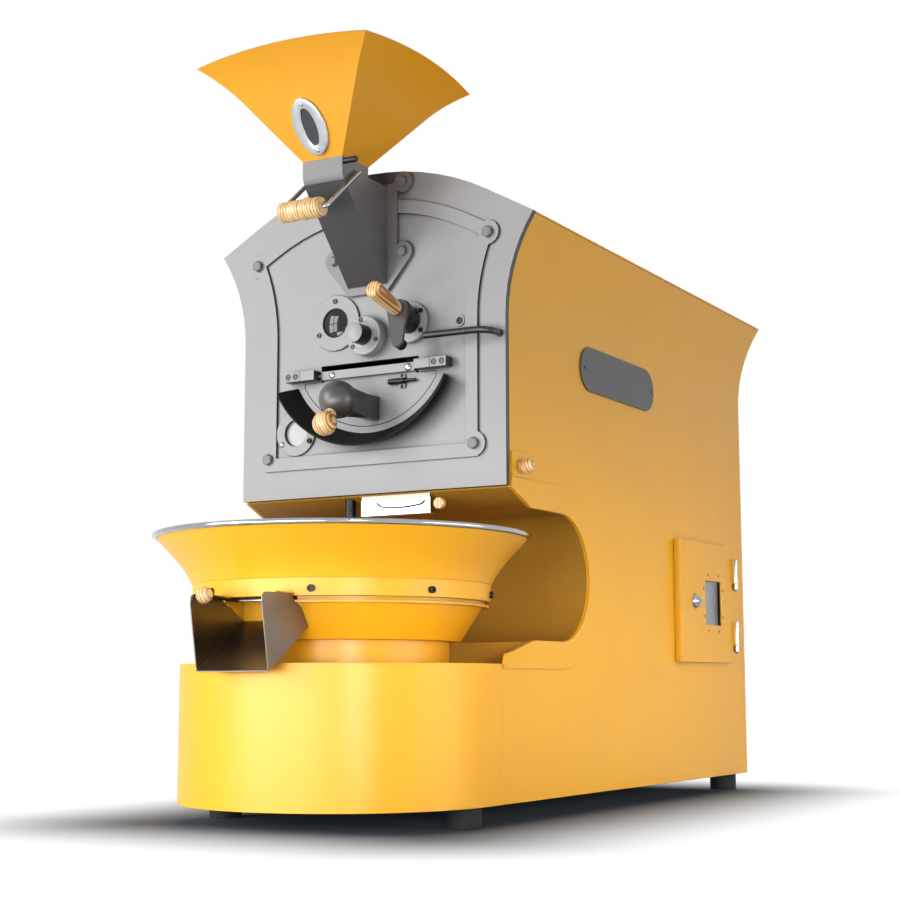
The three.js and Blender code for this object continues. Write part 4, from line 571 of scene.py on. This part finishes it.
def rod(path, radius, bend=8.0, sides=20):
    """Circles of a radius round a path of points in millimetres, with rounded corners."""
    line = rounded(path, bend, 7) if len(path) > 2 else np.array(path, float)
    along = np.gradient(line, axis=0)
    along /= np.linalg.norm(along, axis=1, keepdims=True)
    across = np.empty_like(along)
    across[0] = axes_for(along[0])[0]
    for step in range(1, len(line)):
        last = across[step - 1]
        across[step] = unit(last - along[step] * np.dot(last, along[step]))
    upward = np.cross(along, across)
    angle = full_turn(sides)[None, :, None]
    ring = np.cos(angle) * across[:, None] + np.sin(angle) * upward[:, None]
    return at(line[:, None] + radius * ring)


# %% [markdown]
# ## The funnel
# The hopper is four sheets, each bent one way only and welded along mitred corners. In section a
# sheet is a straight slope that then curls outwards on a large radius. Its upper edge is cut as an
# arch, so the middle of each side stands higher than the corners. The outer and the inner face are
# the same formula, one sheet thickness apart, and the grid closes on itself over the edges.

# %% Hopper
SHEET = 2.5
HOPPER_Y = -92
NECK_HALF, NECK_Z = 33.7, 925
SLOPE = math.radians(52.5)
STRAIGHT, CURL = 99, 210
CORNER_RUN, MIDDLE_RUN = 165, 177.5


def funnel_section(run, inset):
    """Half width and height after a run up the sheet: straight, then an arc of radius CURL."""
    slope = SLOPE - np.maximum(run - STRAIGHT, 0) / CURL
    straight = np.minimum(run, STRAIGHT)
    half = NECK_HALF + straight * np.cos(SLOPE) + CURL * (np.sin(SLOPE) - np.sin(slope))
    height = NECK_Z + straight * np.sin(SLOPE) + CURL * (np.cos(slope) - np.cos(SLOPE))
    return half - inset * np.sin(slope), height + inset * np.cos(slope)


def funnel(inset, shares, steps=30):
    """Rows round the funnel: each side is a sheet, and its run grows to the arch of its edge."""
    across = np.linspace(-1, 1, steps, endpoint=False)[None, :]
    share = np.array(shares)[:, None]
    corner = funnel_section(share * CORNER_RUN, inset)[0]
    run = share * (CORNER_RUN + (MIDDLE_RUN - CORNER_RUN) * (1 - across ** 2))
    half, height = funnel_section(run, inset)
    along = across * corner
    x = np.concatenate([half, -along, -half, along], 1)
    y = np.concatenate([along, half, -along, -half], 1) + HOPPER_Y
    return np.stack([x, y, np.tile(height, 4)], -1)


shares = np.linspace(0, 1, 26)
shell = np.concatenate([funnel(0, shares), funnel(SHEET, shares[::-1])])
piece("hopper_funnel", [at(shell)], hopper_powder, "casing", ["hopper"], "yellow_coat",
      closed=True, sharp=30)
print("funnel mouth", round(float(np.ptp(shell[..., 0])), 1), "mm wide")

# %% [markdown]
# ## The oval window in the funnel
# A polished oval ring frames a dark pane, with a screw above and below it. The ring is a rounded
# section carried round an ellipse, in a frame that lies on the sloping front sheet.

# %% Hopper window
WINDOW_RUN = 49
window_half, window_z = funnel_section(WINDOW_RUN, 0)
WINDOW = np.array([0, HOPPER_Y - window_half, window_z])
WINDOW_UP = np.array([0, -math.cos(SLOPE), math.sin(SLOPE)])
WINDOW_OUT = np.array([0, -math.sin(SLOPE), -math.cos(SLOPE)])


def oval(profile, sides=96):
    """Ellipses (half width, half height, stand-off) on the front sheet: rows round the window."""
    wide, high, stand_off = np.array(profile, float).T[..., None, None]
    angle = full_turn(sides)[:, None]
    return at(WINDOW + wide * np.cos(angle) * SIDE + high * np.sin(angle) * WINDOW_UP
              + stand_off * WINDOW_OUT)


ring = [(26, 43, 0.1), (26, 43, 2.6), (25.4, 42.4, 3.6), (24.2, 41.2, 4), (12.4, 28.9, 4),
        (11.3, 27.8, 3.4), (10.5, 27, 2.4), (10.5, 27, 0.1)]
piece("window_ring", [oval(ring)], satin_aluminium, "casing", ["hopper_window_frame"],
      "chrome_steel", closed=True, sharp=60)
pane = [(11.5, 28, 0.2), (11.5, 28, 1.2), (8, 20, 1.7), (3, 8, 1.9)]
piece("window_pane", [oval(pane)], smoked_glass, "casing", ["hopper_window_glass"])

# %% [markdown]
# ## The cooling bowl
# The bowl is spun from one sheet: a narrow band at the foot, a sharp turn outwards, then a flare
# that curves up to a bright rolled rim. A cubic through a few measured points gives the flare, and
# the wall is that curve and the same curve one sheet further in.

# %% Bowl and rim
BOWL = (0, -66, 0)
BEAD, BEAD_AT = 3.8, (260.6, 390.6)
band = [(190.6, 300), (205.4, 300), (206.4, 300.8), (207.4, 323.2)]
flare_control = np.array([(208.6, 324), (217, 339.5), (227, 353.5), (237.5, 365),
                          (258.8, 388.4)])


def through(points, steps):
    """A smooth curve near points: each coordinate is a cubic in the chord length so far."""
    chord = np.concatenate([[0], np.cumsum(np.linalg.norm(np.diff(points, axis=0), axis=1))])
    chord /= chord[-1]
    share = np.linspace(0, 1, steps)
    return np.stack([np.polyval(np.polyfit(chord, points[:, k], 3), share) for k in (0, 1)], 1)


flare = through(flare_control, 22)
inside = flare[::-1] + np.array([-2.3, 1.4])
band_inside = [(205.6, 324), (204.4, 304), (203.6, 302.5), (190.6, 302.5)]
lathe("spun_bowl", [*band, *flare, *inside[:-1], *band_inside], BOWL, UP, yellow_powder, "casing",
      ["cooling_bowl"], "yellow_coat", 160, closed=True, sharp=14)
lathe("rolled_rim", BEAD_AT + BEAD * circle(full_turn(20)), BOWL, UP, chrome_plate, "casing",
      ["bowl_rim"], "chrome_steel", 180, closed=True)

# %% [markdown]
# ## Wooden knobs and grips
# The knobs are turned balls with a small flat where the steel collar meets them. The grip of the
# gate is a short roller with rounded ends that turns on its bent rod, and the sampler's handle
# grows thicker towards its round end. Each is a profile turned about its own axis.

# %% Knobs and grips
DOOR_DIP = math.radians(50)
KNOB_OUT = np.array([0, -math.cos(DOOR_DIP), -math.sin(DOOR_DIP)])
WEIGHT = np.array([-13, -62, 590])
KNOB_REACH = 51
GATE_DROP = math.radians(40.5)
GATE_Z, GATE_REACH = 908.5, 107.8
GRIP = np.array([0, HOPPER_Y - GATE_REACH * math.cos(GATE_DROP),
                 GATE_Z - GATE_REACH * math.sin(GATE_DROP)])
TILT = math.radians(16)
TRIER_OUT = np.array([0, -math.cos(TILT), math.sin(TILT)])
TRIER_UP = np.array([0, math.sin(TILT), math.cos(TILT)])
TRIER = np.array([71.5, 0, 704])


def knob_profile(radius, flat, steps=40):
    """Half a circle from the flat round to the far pole."""
    turn = np.linspace(-math.acos(flat / radius), math.pi / 2, steps)
    return [(0, radius * math.sin(turn[0])), *(radius * circle(turn))]


neck = [(0, -23), (8.2, -23), (7.2, -20), (7, -17.4), (8.6, -15.4)]
lathe("door_ball", neck + knob_profile(17.6, 8.6)[1:], WEIGHT + KNOB_REACH * KNOB_OUT, KNOB_OUT,
      pine_knob, "door", ["door_knob"], "pine", sharp=70)
lathe("outlet_ball", knob_profile(11.1, 4), (-42.5, -320, 301), (0, -0.98, 0.2),
      pine_knob, "outlet", ["outlet_knob"], "pine")
waist = [(0, -13.6), (6.4, -13.6), (7.6, -12.4), (7.6, -10.2), (5.8, -8.6)]
lathe("damper_ball", waist + knob_profile(10.7, 6.4)[1:], (239, 37, 489), SIDE,
      pine_knob, "damper", ["damper_knob"], "pine", sharp=70)
roller = rounded([(0, -34.5), (14.1, -34.5), (14.3, -20), (14.3, 20), (14.1, 34.5), (0, 34.5)], 3.4)
lathe("gate_roller", roller, GRIP, SIDE, pine_across, "gate", ["gate_grip"], "pine", sharp=70)
handle = rounded([(0, 41.9), (9.6, 41.9), (10.6, 48), (12.8, 96), (12.8, 106), (9.6, 109.4),
                  (0, 110)], 4)
lathe("trier_handle", handle, TRIER, TRIER_OUT, pine_along, "trier", ["sampler_grip"], "pine",
      sharp=70)

# %% [markdown]
# ## The gate's bail
# A polished rod is bent into a handle: out of each side of the chute, forwards and down to the
# wooden roller, and across through it. Lifting it turns the flap in the chute, until the rod is
# close under the stop pin on the right side.

# %% Bail and stop pin
LEFT, RIGHT = -41, 41
bail = [(-36, HOPPER_Y, GATE_Z), (LEFT, HOPPER_Y, GATE_Z), (LEFT, *GRIP[1:]), (RIGHT, *GRIP[1:]),
        (RIGHT, HOPPER_Y, GATE_Z), (36, HOPPER_Y, GATE_Z)]
spindle = [(-37, HOPPER_Y, GATE_Z), (37, HOPPER_Y, GATE_Z)]
flap = block((-29.5, HOPPER_Y - 29.5, 907.3), (29.5, HOPPER_Y + 29.5, 909.7))
piece("gate_bail", [rod(bail, 3.2, 7, 24), rod(spindle, 4), flap], turned_steel, "gate",
      ["gate_lever"], "brushed_steel")
pin = rounded([(0, 32), (4.3, 32), (4.3, 54.9), (0, 54.9)], 1)
lathe("bail_stop", pin, (0, -121, 918), SIDE, black_oxide, sides=32)

# %% [markdown]
# ## Painted shade on the chute
# The slanted front of the chute is painted darker than its sides: painted shade, laid on as a thin
# dark plate on the slope. The plate is worked out from the line between the bend and the lower edge.

# %% Painted shade on the chute
SHADE_SHEET_HALF, SHADE_SHEET_TOP, SHADE_SHEET_END = 33.5, 6, 176
BEND, LOW_EDGE = np.array([[0, -125.7, 896], [0, -6, 764.5]])
down = unit(LOW_EDGE - BEND)
outward = np.array([0, down[2], -down[1]])
places = [(-SHADE_SHEET_HALF, SHADE_SHEET_TOP), (SHADE_SHEET_HALF, SHADE_SHEET_TOP), (SHADE_SHEET_HALF, SHADE_SHEET_END),
          (-SHADE_SHEET_HALF, SHADE_SHEET_END)]
sheet = [[BEND + down * run + outward * stand_off + (x, 0, 0) for x, run in places]
         for stand_off in (0.1, 0.5)]
# The thin dark sheet on the slope carries painted shade.
piece("chute_painted_shade_sheet", [at(sheet)], painted_shade_charcoal)

# %% [markdown]
# ## The door's weight
# A ball of cast iron keeps the discharge door shut. The casting runs from the ball into a square
# foot that stands on the door: each point of the ring is start + t * (end - start), from a circle on
# the ball to a rectangle on the foot.

# %% Weight
WEIGHT_RADIUS = 27.5
NECK_RUN, NECK_RADIUS = 15.8, 22.4
FOOT, FOOT_THROUGH = np.array([10.25, -32, 583]), np.array([0, 31.9, 0])
FOOT_HALVES = np.array([[7.2, 0, 0], [0, 0, 17]])
run_to_foot = np.array([23.4, 36, -5.5]) / 43.3
side = unit(SIDE - run_to_foot * run_to_foot[0])
rise = unit(UP - run_to_foot * run_to_foot[2] - side * side[2])
ring = circle(full_turn(64))
square = ring / np.abs(ring).max(1, keepdims=True)


def rings(first, last, rows):
    """Rows of points from one ring to another: first + t * (last - first)."""
    t = np.linspace(0, 1, rows)[:, None, None]
    return at(first + t * (last - first))


foot_front = FOOT + square @ FOOT_HALVES
on_ball = WEIGHT + NECK_RUN * run_to_foot + ring @ (NECK_RADIUS * np.stack([side, rise]))
whole_ball = [(0, -WEIGHT_RADIUS), *knob_profile(WEIGHT_RADIUS, 0.1, 60)[1:]]
casting = [turned(whole_ball, WEIGHT, KNOB_OUT, 72), rings(on_ball, foot_front, 12),
           rings(foot_front, foot_front + FOOT_THROUGH, 3)]
piece("weight_casting", casting, cast_iron, "door", ["door_weight"], "cast_iron", sharp=30)
lathe("knob_collar", [(0, 26), (5, 26), (4.6, 28.2), (0, 28.2)], WEIGHT, KNOB_OUT, black_oxide,
      "door", sides=32)

# %% [markdown]
# ## The bean guide
# A flared band stands round the lower half of the door and leads the falling beans into the bowl.
# At each angle its section is a straight strip from the plate outwards. Near both ends the strip
# gets shorter as 1 - 0.18 * (1 - sqrt(1 - p * p)), which rounds the outer corner.

# %% Bean guide
SHAFT = (0, 0, 690)
GUIDE, GUIDE_FLARE, GUIDE_DEPTH = 141, 20, 30
half_turn, corner_turn = math.radians(62.5), math.radians(2.5)
middle = np.linspace(corner_turn - half_turn, half_turn - corner_turn, 90)
ends = half_turn - corner_turn + corner_turn * np.sin(np.linspace(0, np.pi / 2, 9))[1:]
turn = np.concatenate([-ends[::-1], middle, ends])
past = np.clip((np.abs(turn) - half_turn + corner_turn) / corner_turn, 0, 1)
share = 1 - 0.18 * (1 - np.sqrt(1 - past ** 2))
out = np.stack([0 * share, share, share, 0 * share], 1)
radii = np.array([GUIDE, GUIDE, GUIDE + SHEET, GUIDE + SHEET]) + GUIDE_FLARE * out
guide = np.stack([radii * np.sin(turn)[:, None], -GUIDE_DEPTH * out,
                  SHAFT[2] - radii * np.cos(turn)[:, None]], -1)
piece("guide_band", [at(guide)], matt_black, "casing", ["bean_guide"], "black_steel",
      round_mm=0.5)

# %% [markdown]
# ## Bearing, sampler and lever
# The drum's front bearing is a stepped housing with a dark sleeve and a pale end cap. The sampler
# slides out of a tilted hub behind a round flange. Its grey arm carries a locking pin, and the
# airflow lever is a bent black bar.

# %% Bearing, sampler seat and lever
ARM_SIDE, ARM_DOWN = 8.5, -50
flange = [(0, 0.1), (29, 0.1), (29, 15.6), (28.3, 16.8), (27, 17.2), (24, 17.2), (24, 18),
          (21, 18), (20.4, 17.4), (0, 17.4)]
lathe("bearing_flange", flange, SHAFT, FRONT, light_powder, "casing", ["bearing_housing"],
      "grey_coat", 72)
lathe("bearing_sleeve", [(0, 17.4), (14.6, 17.4), (14.5, 42.6), (0, 42.6)], SHAFT, FRONT, black_oxide)
lathe("bearing_cap", [(0, 42.5), (14.6, 42.5), (14.6, 43.6), (14, 44), (0, 44)], SHAFT,
      FRONT, light_powder)
lathe("sampler_flange", [(0, 0.1), (30, 0.1), (30, 6.2), (29.2, 7), (0, 7)], TRIER, FRONT,
      light_powder, "casing", ["sampler_seat"], "dark_coat", 72)
lathe("sampler_hub", [(0, 3), (19, 3), (19, 35), (18, 36), (0, 36)], TRIER, TRIER_OUT, black_enamel)

upper = np.linspace(0, np.pi, 25)
outline = np.concatenate([17.2 * circle(upper), (ARM_SIDE, ARM_DOWN) + 9.2 * circle(upper + np.pi)])
arm_ring = TRIER + outline @ np.stack([SIDE, TRIER_UP])
piece("trier_arm", [rings(arm_ring + 36.5 * TRIER_OUT, arm_ring + 41.8 * TRIER_OUT, 2)], arm_powder,
      "trier", round_mm=0.8)
pin = rounded([(0, 26), (8.2, 26), (8.2, 38), (0, 38)], 1)
pin_at = TRIER + np.array([ARM_SIDE, 0, 0]) + ARM_DOWN * TRIER_UP
lathe("trier_pin", pin, pin_at, TRIER_OUT, black_oxide, "trier", sides=40)

lever = [(216, 26, 673.5), (216, -24, 673.5), (193, -24, 676.5), (110, -31, 675.5)]
piece("airflow_bar", [rod(lever, 5, 10, 28)], black_enamel, "airflow", ["airflow_lever"],
      "black_steel", round_mm=1.4)

# %% [markdown]
# ## Sight glass and light port
# The sight glass is domed, so it shows a small image of the lamps. Its height falls off with the
# square of the radius: rise * (1 - (r / edge) ** 2). The port below is a deep ring with a pale disc.

# %% Glass and port
SIGHT, PORT, HOLE = (-58.4, 0, 717), (-127.5, 0, 557.5), (152, 0, 698)
DOME, DOME_EDGE, DOME_RISE = 20.6, 2.6, 3.2
radius = np.linspace(DOME, 0, 14)
dome = [(0, 0.5), (DOME, 0.5), *zip(radius, DOME_EDGE + DOME_RISE * (1 - (radius / DOME) ** 2))]
lathe("sight_dome", dome, SIGHT, FRONT, dark_glass, "casing", ["sight_glass"], "dark_glass", 72)
lathe("sight_gasket", [(20.4, 0.4), (22.2, 0.4), (22.2, 3.9), (20.4, 3.9)], SIGHT, FRONT, rubber,
      sides=72, closed=True)
lathe("port_disc", [(0, -4), (19.6, -4), (19.6, -2.2), (17, -1.9), (0, -1.9)], PORT, FRONT,
      pale_enamel)
lathe("ringed_hole", [(5.2, 0.1), (8.4, 0.1), (8, 1.4), (5.4, 1.4)], HOLE, FRONT, grey_powder,
      sides=40, closed=True)
plug = [(0, 0.1), (4.6, 0.1), (4.4, 1.9), (2.4, 1.9, 1), (2.2, 0.9, 1), (0, 0.9, 1)]
lathe("hole_screw", plug, HOLE, FRONT, black_oxide, sides=36)

# %% [markdown]
# ## Screws
# Eight hexagon bolts hold the frame and the bracket. Small socket screws hold the flanges, the hinge
# blocks and the band of the bowl. Each head is a turned profile with a hexagon where the tool goes.

# %% Screws


def hex_bolt(place, across_flats=15, tall=6):
    """A hexagon head with a chamfered crown."""
    half = across_flats / 2
    return turned([(0, 0.1, 1), (half, 0.1, 1), (half, tall - 1, 1), (half - 0.9, tall, 0.2),
                   (0, tall)], place, FRONT, 36)


def socket_screw(place, axis=FRONT, head=8, tall=3, key=4):
    """A round head with a hexagon socket."""
    half, hole, floor_at = head / 2, key / 2, tall * 0.3
    return turned([(0, 0.1), (half, 0.1), (half, tall - 0.5), (half - 0.5, tall),
                   (hole + 0.3, tall, 1), (hole, tall - 0.4, 1), (hole, floor_at, 1),
                   (0, floor_at, 1)], place, axis, 36)


def domed_screw(place, axis=FRONT, head=8, tall=2.6):
    """A low dome: radius r cos a at a height of tall * sin a."""
    arc = circle(np.linspace(0, np.pi / 2, 7)) * (head / 2, tall) + (0, 0.1)
    return turned([(0, 0.1), *arc], place, axis, 32)


def round_place(centre, radius, degrees, y):
    """Places on a circle in the plane of the plate."""
    return [(centre[0] + radius * math.cos(a), y, centre[2] + radius * math.sin(a))
            for a in map(math.radians, degrees)]


frame_bolts = [(side * x, -4, z) for side in (-1, 1) for x, z in ((199.7, 820), (176, 520.5))]
bracket_bolts = [(side * 60, -6, z) for side in (-1, 1) for z in (914.5, 809.5)]
block_bolts = [(side * x, -18, 639.5) for side in (-1, 1) for x in (119, 132)]
heads = [hex_bolt(p) for p in frame_bolts] + [hex_bolt(p, 13) for p in bracket_bolts]
piece("hex_bolts", heads, bolt_zinc, round_mm=0.25)
heads = [socket_screw(p, head=7, key=3.4) for p in round_place(TRIER, 25, (35, 110, 325), -7)]
heads += [socket_screw(p, head=7.6) for p in round_place(PORT, 29, (90, 332), -3.5)]
piece("black_screws", heads, black_oxide, round_mm=0.15)
heads = [socket_screw(p, head=7.4, key=3, tall=2.4)
         for p in round_place(SIGHT, 32.5, (90, 210, 330), -3.5)]
heads += [socket_screw(p, head=7, key=3.4, tall=1.6)
          for p in round_place(SHAFT, 23.6, (100, 222, 340), -17.6)]
heads += [socket_screw(p, head=9, tall=1.2, key=4.8) for p in block_bolts]
piece("zinc_screws", heads, arm_powder, round_mm=0.15)
heads = [domed_screw(p, head=8.6) for p in round_place(PORT, 29, (213,), -3.5)]
piece("bright_screws", heads, chrome_plate)
heads = [domed_screw((x, -6, 638.5), head=head) for x, head in ((-61, 10), (69.5, 11.6))]
piece("strip_screws", heads, chrome_plate, "door")
heads = [domed_screw((57.5, -2.5, z), head=5, tall=1.4) for z in (627.3, 611.9)]
piece("latch_screws", heads, black_oxide, "door")
heads = [domed_screw(WINDOW + s * 34.6 * WINDOW_UP + 4 * WINDOW_OUT, WINDOW_OUT, 6.4, 1.6)
         for s in (-1, 1)]
piece("window_screws", heads, turned_steel)

BAND, BAND_Z = 206.8, 309.5
heads = [socket_screw((BAND * math.cos(a), BOWL[1] + BAND * math.sin(a), BAND_Z),
                      (math.cos(a), math.sin(a), -0.05), 9.6, 5, 5.2)
         for a in np.radians(22.5 + 45 * np.arange(8))]
piece("bowl_screws", heads, black_oxide, round_mm=0.3)

# %% [markdown]
# ## Latch and hinge blocks
# The latch on the door is a thin black bolt in a thicker barrel. Each hinge block has a groove
# round it, where the clamp closes on the pin.

# %% Latch and grooves
BOLT_Y, BOLT_Z, BLOCK_X = -4.2, 619.5, 112
bolt = [rod([(start, BOLT_Y, BOLT_Z), (end, BOLT_Y, BOLT_Z)], radius, sides=sides)
        for start, end, radius, sides in ((36, 63, 4.2, 24), (62, 81, 2.2, 20))]
piece("latch_bolt", bolt, black_oxide, "door", round_mm=0.8)
grooves = [block((s * BLOCK_X - 0.5, -18.15, 632.4), (s * BLOCK_X + 0.5, -1, 646.6))
           for s in (-1, 1)]
piece("clamp_grooves", grooves, black_oxide)

# %% [markdown]
# ## Side fittings
# The cabinet door has polished hinge barrels with ball ends, a lock with a coned bezel, a recessed
# pane, and eight small holes round it. The nameplate stays bare: it only has its two screws.

# %% Cabinet, lock and nameplate
HINGES = [(240.3, 844.5, low) for low in (365.5, 254.5)]
LOCK = (236, 660, 327)
barrel = rounded([(0, 0.3), (4.6, 0.3), (4.6, 42.7), (0, 42.7)], 0.8)
piece("hinge_barrels", [turned(barrel, p, UP, 32) for p in HINGES], chrome_plate, "cabinet")
ball = [*(4.8 * circle(np.linspace(-np.pi / 2, 0, 10)) + (0, -9.5)), (4.6, -0.4), (0, -0.4)]
piece("hinge_pintles", [turned(ball, p, UP, 32) for p in HINGES], chrome_plate, sharp=50)
bezel = [(0, 0.1), (12.6, 0.1), (12.6, 1.6), (10, 6.4), (8.8, 7.2), (8.4, 9.2), (0, 9.2)]
lathe("lock_bezel", bezel, LOCK, SIDE, chrome_plate, "lock", ["cam_lock"], "chrome_steel", 48)
barrel = turned([(0, -18), (8, -18), (8, 9), (0, 9)], LOCK, SIDE, 40)
cam = block((217.5, 654, 267), (220, 666, 327))
piece("lock_barrel", [barrel, cam], zinc_plate, "lock")
slot = [block((244.6, 658.9, 323.4), (245.5, 661.1, 330.6)),
        block((244.6, 657.4, 328.6), (245.4, 658.6, 331.4))]
piece("lock_slot", slot, black_oxide, "lock")
piece("cabinet_pane", [block((226.5, 706, 285.5), (228.5, 785.5, 367.7))], pane_grey, "cabinet",
      round_mm=0.3)
pane_holes = [(236, y, z) for y in (722, 770) for z in (278, 375)]
pane_holes += [(236, y, z) for y in (700.5, 791) for z in (303, 350)]
piece("pane_screws", [domed_screw(p, SIDE, 4.4, 0.5) for p in pane_holes], black_oxide, "cabinet")
heads = [domed_screw((228, y, 664.8), SIDE, 5.6, 1) for y in (251.3, 504.7)]
piece("nameplate_screws", heads, black_oxide)

# %% [markdown]
# ## Feet
# Four short black rubber cylinders with a rounded lower edge carry the machine.

# %% Feet
pad = rounded([(0, 0), (23, 0), (23, 28), (0, 28)], 1.6)
for name, x, y in (("front_left", -196, -68), ("front_right", 196, -68), ("rear_left", -196, 876),
                   ("rear_right", 196, 876)):
    lathe(f"pad_{name}", pad, (x, y, 0), UP, rubber, "casing", [f"foot_{name}"], "black_rubber")

# %% [markdown]
# ## Under the plate and on the spout
# Behind the lower edge of the plate hangs a bright pan. It has a turned-up lip and a bent wire, and
# a wooden knob and a round post stand beside it. Over the spout lies the thin plate that the outlet
# lever turns, on a bolt, and a small yellow tab.

# %% Pan, wire and outlet
wire = [(8, 10, 446.5), (14, 9.6, 440.5), (52, 9.4, 438.5), (82, 9.6, 441.5), (88, 10, 446.5)]
piece("pan_wire", [rod(wire, 1.2, 6, 12)], black_oxide)
knob = rounded([(0, 0), (8.2, 0), (8.2, 9), (0, 9)], 1.5)
lathe("pan_knob", knob, (110, 19, 441.6), FRONT, pine_across, sides=40)
lathe("pan_post", [(0, 420), (8, 420), (8, 458), (0, 458)], (-44, 20, 0), UP, black_oxide, sides=40)
piece("pan_lip", [block((-19, 10.9, 451.7), (96, 12.1, 457.2))], spout_stainless)
piece("outlet_blade", [block((-24, -271, 294.7), (34, -262, 295.8))], zinc_plate, "outlet")
lathe("outlet_bolt", [(0, -1.6), (5.5, -1.6, 1), (5.5, 0.2, 1), (0, 0.2)], (48, -262, 295.8),
      (0, 0, -1), zinc_plate, "outlet", sides=36)
piece("spout_tab", [block((47, -304, 303.2), (57.4, -261, 304.8))], yellow_powder)
print("meshes so far:", len(bpy.data.meshes))

# %% [markdown]
# ## Studio
# The ground is white, with a soft shadow that is nearly black under the machine. The floor is a matt
# grey plane that takes the shadows of the lamps. For the camera, and in mirrors, it is a darker,
# bluish grey and also glows white, and the glow fades to nothing close to the machine, by the
# distance
# from its footprint: a painted soft shadow round the machine. Light that bounces on to other surfaces
# sees the grey only.

# %% Floor and sky
REACH, FOOTPRINT = 12, (0.2, 0.5, 0)
# Where the painted shadow round the footprint starts and ends, in metres from it.
PAINTED_SHADOW_FROM, PAINTED_SHADOW_TO = -0.01, 0.4
SKY_LIGHT, SKY_SEEN = 0.15, 1.0
floor_mesh = bpy.data.meshes.new("floor")
floor_mesh.from_pydata([(x * REACH, y * REACH, 0) for x, y in ((-1, -1), (1, -1), (1, 1), (-1, 1))],
                       [], [(0, 1, 2, 3)])
floor = new_object("floor", floor_mesh)


def seen_directly(tree):
    """1 for camera, mirror and glass rays, 0 for the rays that carry light to other surfaces."""
    rays = add(tree, "LightPath").outputs
    seen = maths(tree, "MAXIMUM", rays["Is Camera Ray"], rays["Is Glossy Ray"])
    return maths(tree, "MAXIMUM", seen, rays["Is Transmission Ray"])


floor_finish, tree = new_finish("matt_white_floor")
seen = seen_directly(tree)
mirrored = maths(tree, "ABSOLUTE", object_place(tree), kind=VECTOR)
beside = maths(tree, "SUBTRACT", mirrored, FOOTPRINT, kind=VECTOR)
outside = maths(tree, "MAXIMUM", beside, (0, 0, 0), kind=VECTOR)
away = add(tree, VECTOR, {0: outside}, operation="LENGTH").outputs["Value"]
# clear rises from 0 at the footprint to 1 some way out; the glow it scales leaves a painted soft
# shadow round the machine.
clear = between(tree, away, 0.0, 1.0, PAINTED_SHADOW_FROM, PAINTED_SHADOW_TO, interpolation_type="SMOOTHSTEP")
# The camera sees a darker, bluish grey than the light that bounces: painted shade that deepens the
# shadow near the machine, with blue against the yellow light the machine throws on it.
tone = mix(tree, seen, linear("#a0a0a0"), linear("#6b727a"))
matt = add(tree, "BsdfDiffuse", {"Color": tone})
glow = add(tree, "Emission", {"Strength": maths(tree, "MULTIPLY", seen, clear)})
both = add(tree, "AddShader", {0: matt.outputs[0], 1: glow.outputs[0]})
add(tree, "OutputMaterial", {"Surface": both.outputs[0]})
floor_mesh.materials.append(floor_finish)

world = bpy.data.worlds.new("studio")
bpy.context.scene.world = world
world.use_nodes = True
tree = world.node_tree
tree.nodes.clear()
glare = between(tree, seen_directly(tree), SKY_LIGHT, SKY_SEEN)
sky = add(tree, "Background", {"Color": linear("#ffffff"), "Strength": glare})
add(tree, "OutputWorld", {"Surface": sky.outputs[0]})

# %% [markdown]
# ## Lamps
# The shadows on the front plate fall to the right and a little down, so the key lamp stands to the
# left of the camera. Its image in the domed sight glass is a window of four panes: the key is four
# upright lamps, two above two. A low wide lamp in front lights the bowl and the lower plate. On the
# right a large lamp keeps the long side readable, and a narrow beam reaches into the throat. One
# more, high behind the machine, lights the roof.

# %% Lamps
MIDDLE = np.array([0, -0.35, 0.6])
KEY = MIDDLE + 3.9 * np.array([-0.6, -0.775, 0.2])
PANE, PANE_WATTS, PANE_X, PANE_Z = (0.74, 1.12), 24, 0.43, 0.62


def soft_lamp(name, place, aim, size, watts, shift=(0, 0), spread=180):
    """A lamp facing the aim. shift slides it across and up in its own plane, in metres, and spread
    is the angle of its beam."""
    lamp = bpy.data.lights.new(name, "AREA")
    lamp.shape = "RECTANGLE"
    lamp.size, lamp.size_y = size
    lamp.energy = watts
    lamp.spread = math.radians(spread)
    look = np.array(aim, float) - np.array(place, float)
    across = unit(np.cross(look, UP))
    upward = np.cross(across, unit(look))
    holder = new_object(name, lamp)
    holder.location = np.array(place) + shift[0] * across + shift[1] * upward
    holder.rotation_euler = (math.atan2(math.hypot(look[0], look[1]), -look[2]), 0.0,
                             math.atan2(look[1], look[0]) - math.pi / 2)


for pane, (x, z) in enumerate([(-1, -1), (1, -1), (-1, 1), (1, 1)]):
    soft_lamp(f"key_{pane}", KEY, MIDDLE, PANE, PANE_WATTS, (x * PANE_X, z * PANE_Z))
soft_lamp("front", (-0.1, -2, 0.2), (0, -0.4, 0.3), (1.6, 0.4), 22)
soft_lamp("right", (1.9, -2.1, 0.35), (0.12, 0.12, 0.2), (0.9, 0.4), 1.1, spread=18)
soft_lamp("fill", (3.4, 0.3, 0.4), (0.2, 0.2, 0.35), (2.6, 1.2), 44)
soft_lamp("back", (-1.6, 3.6, 2.8), (0, 0.1, 0.5), (2.4, 2), 60)
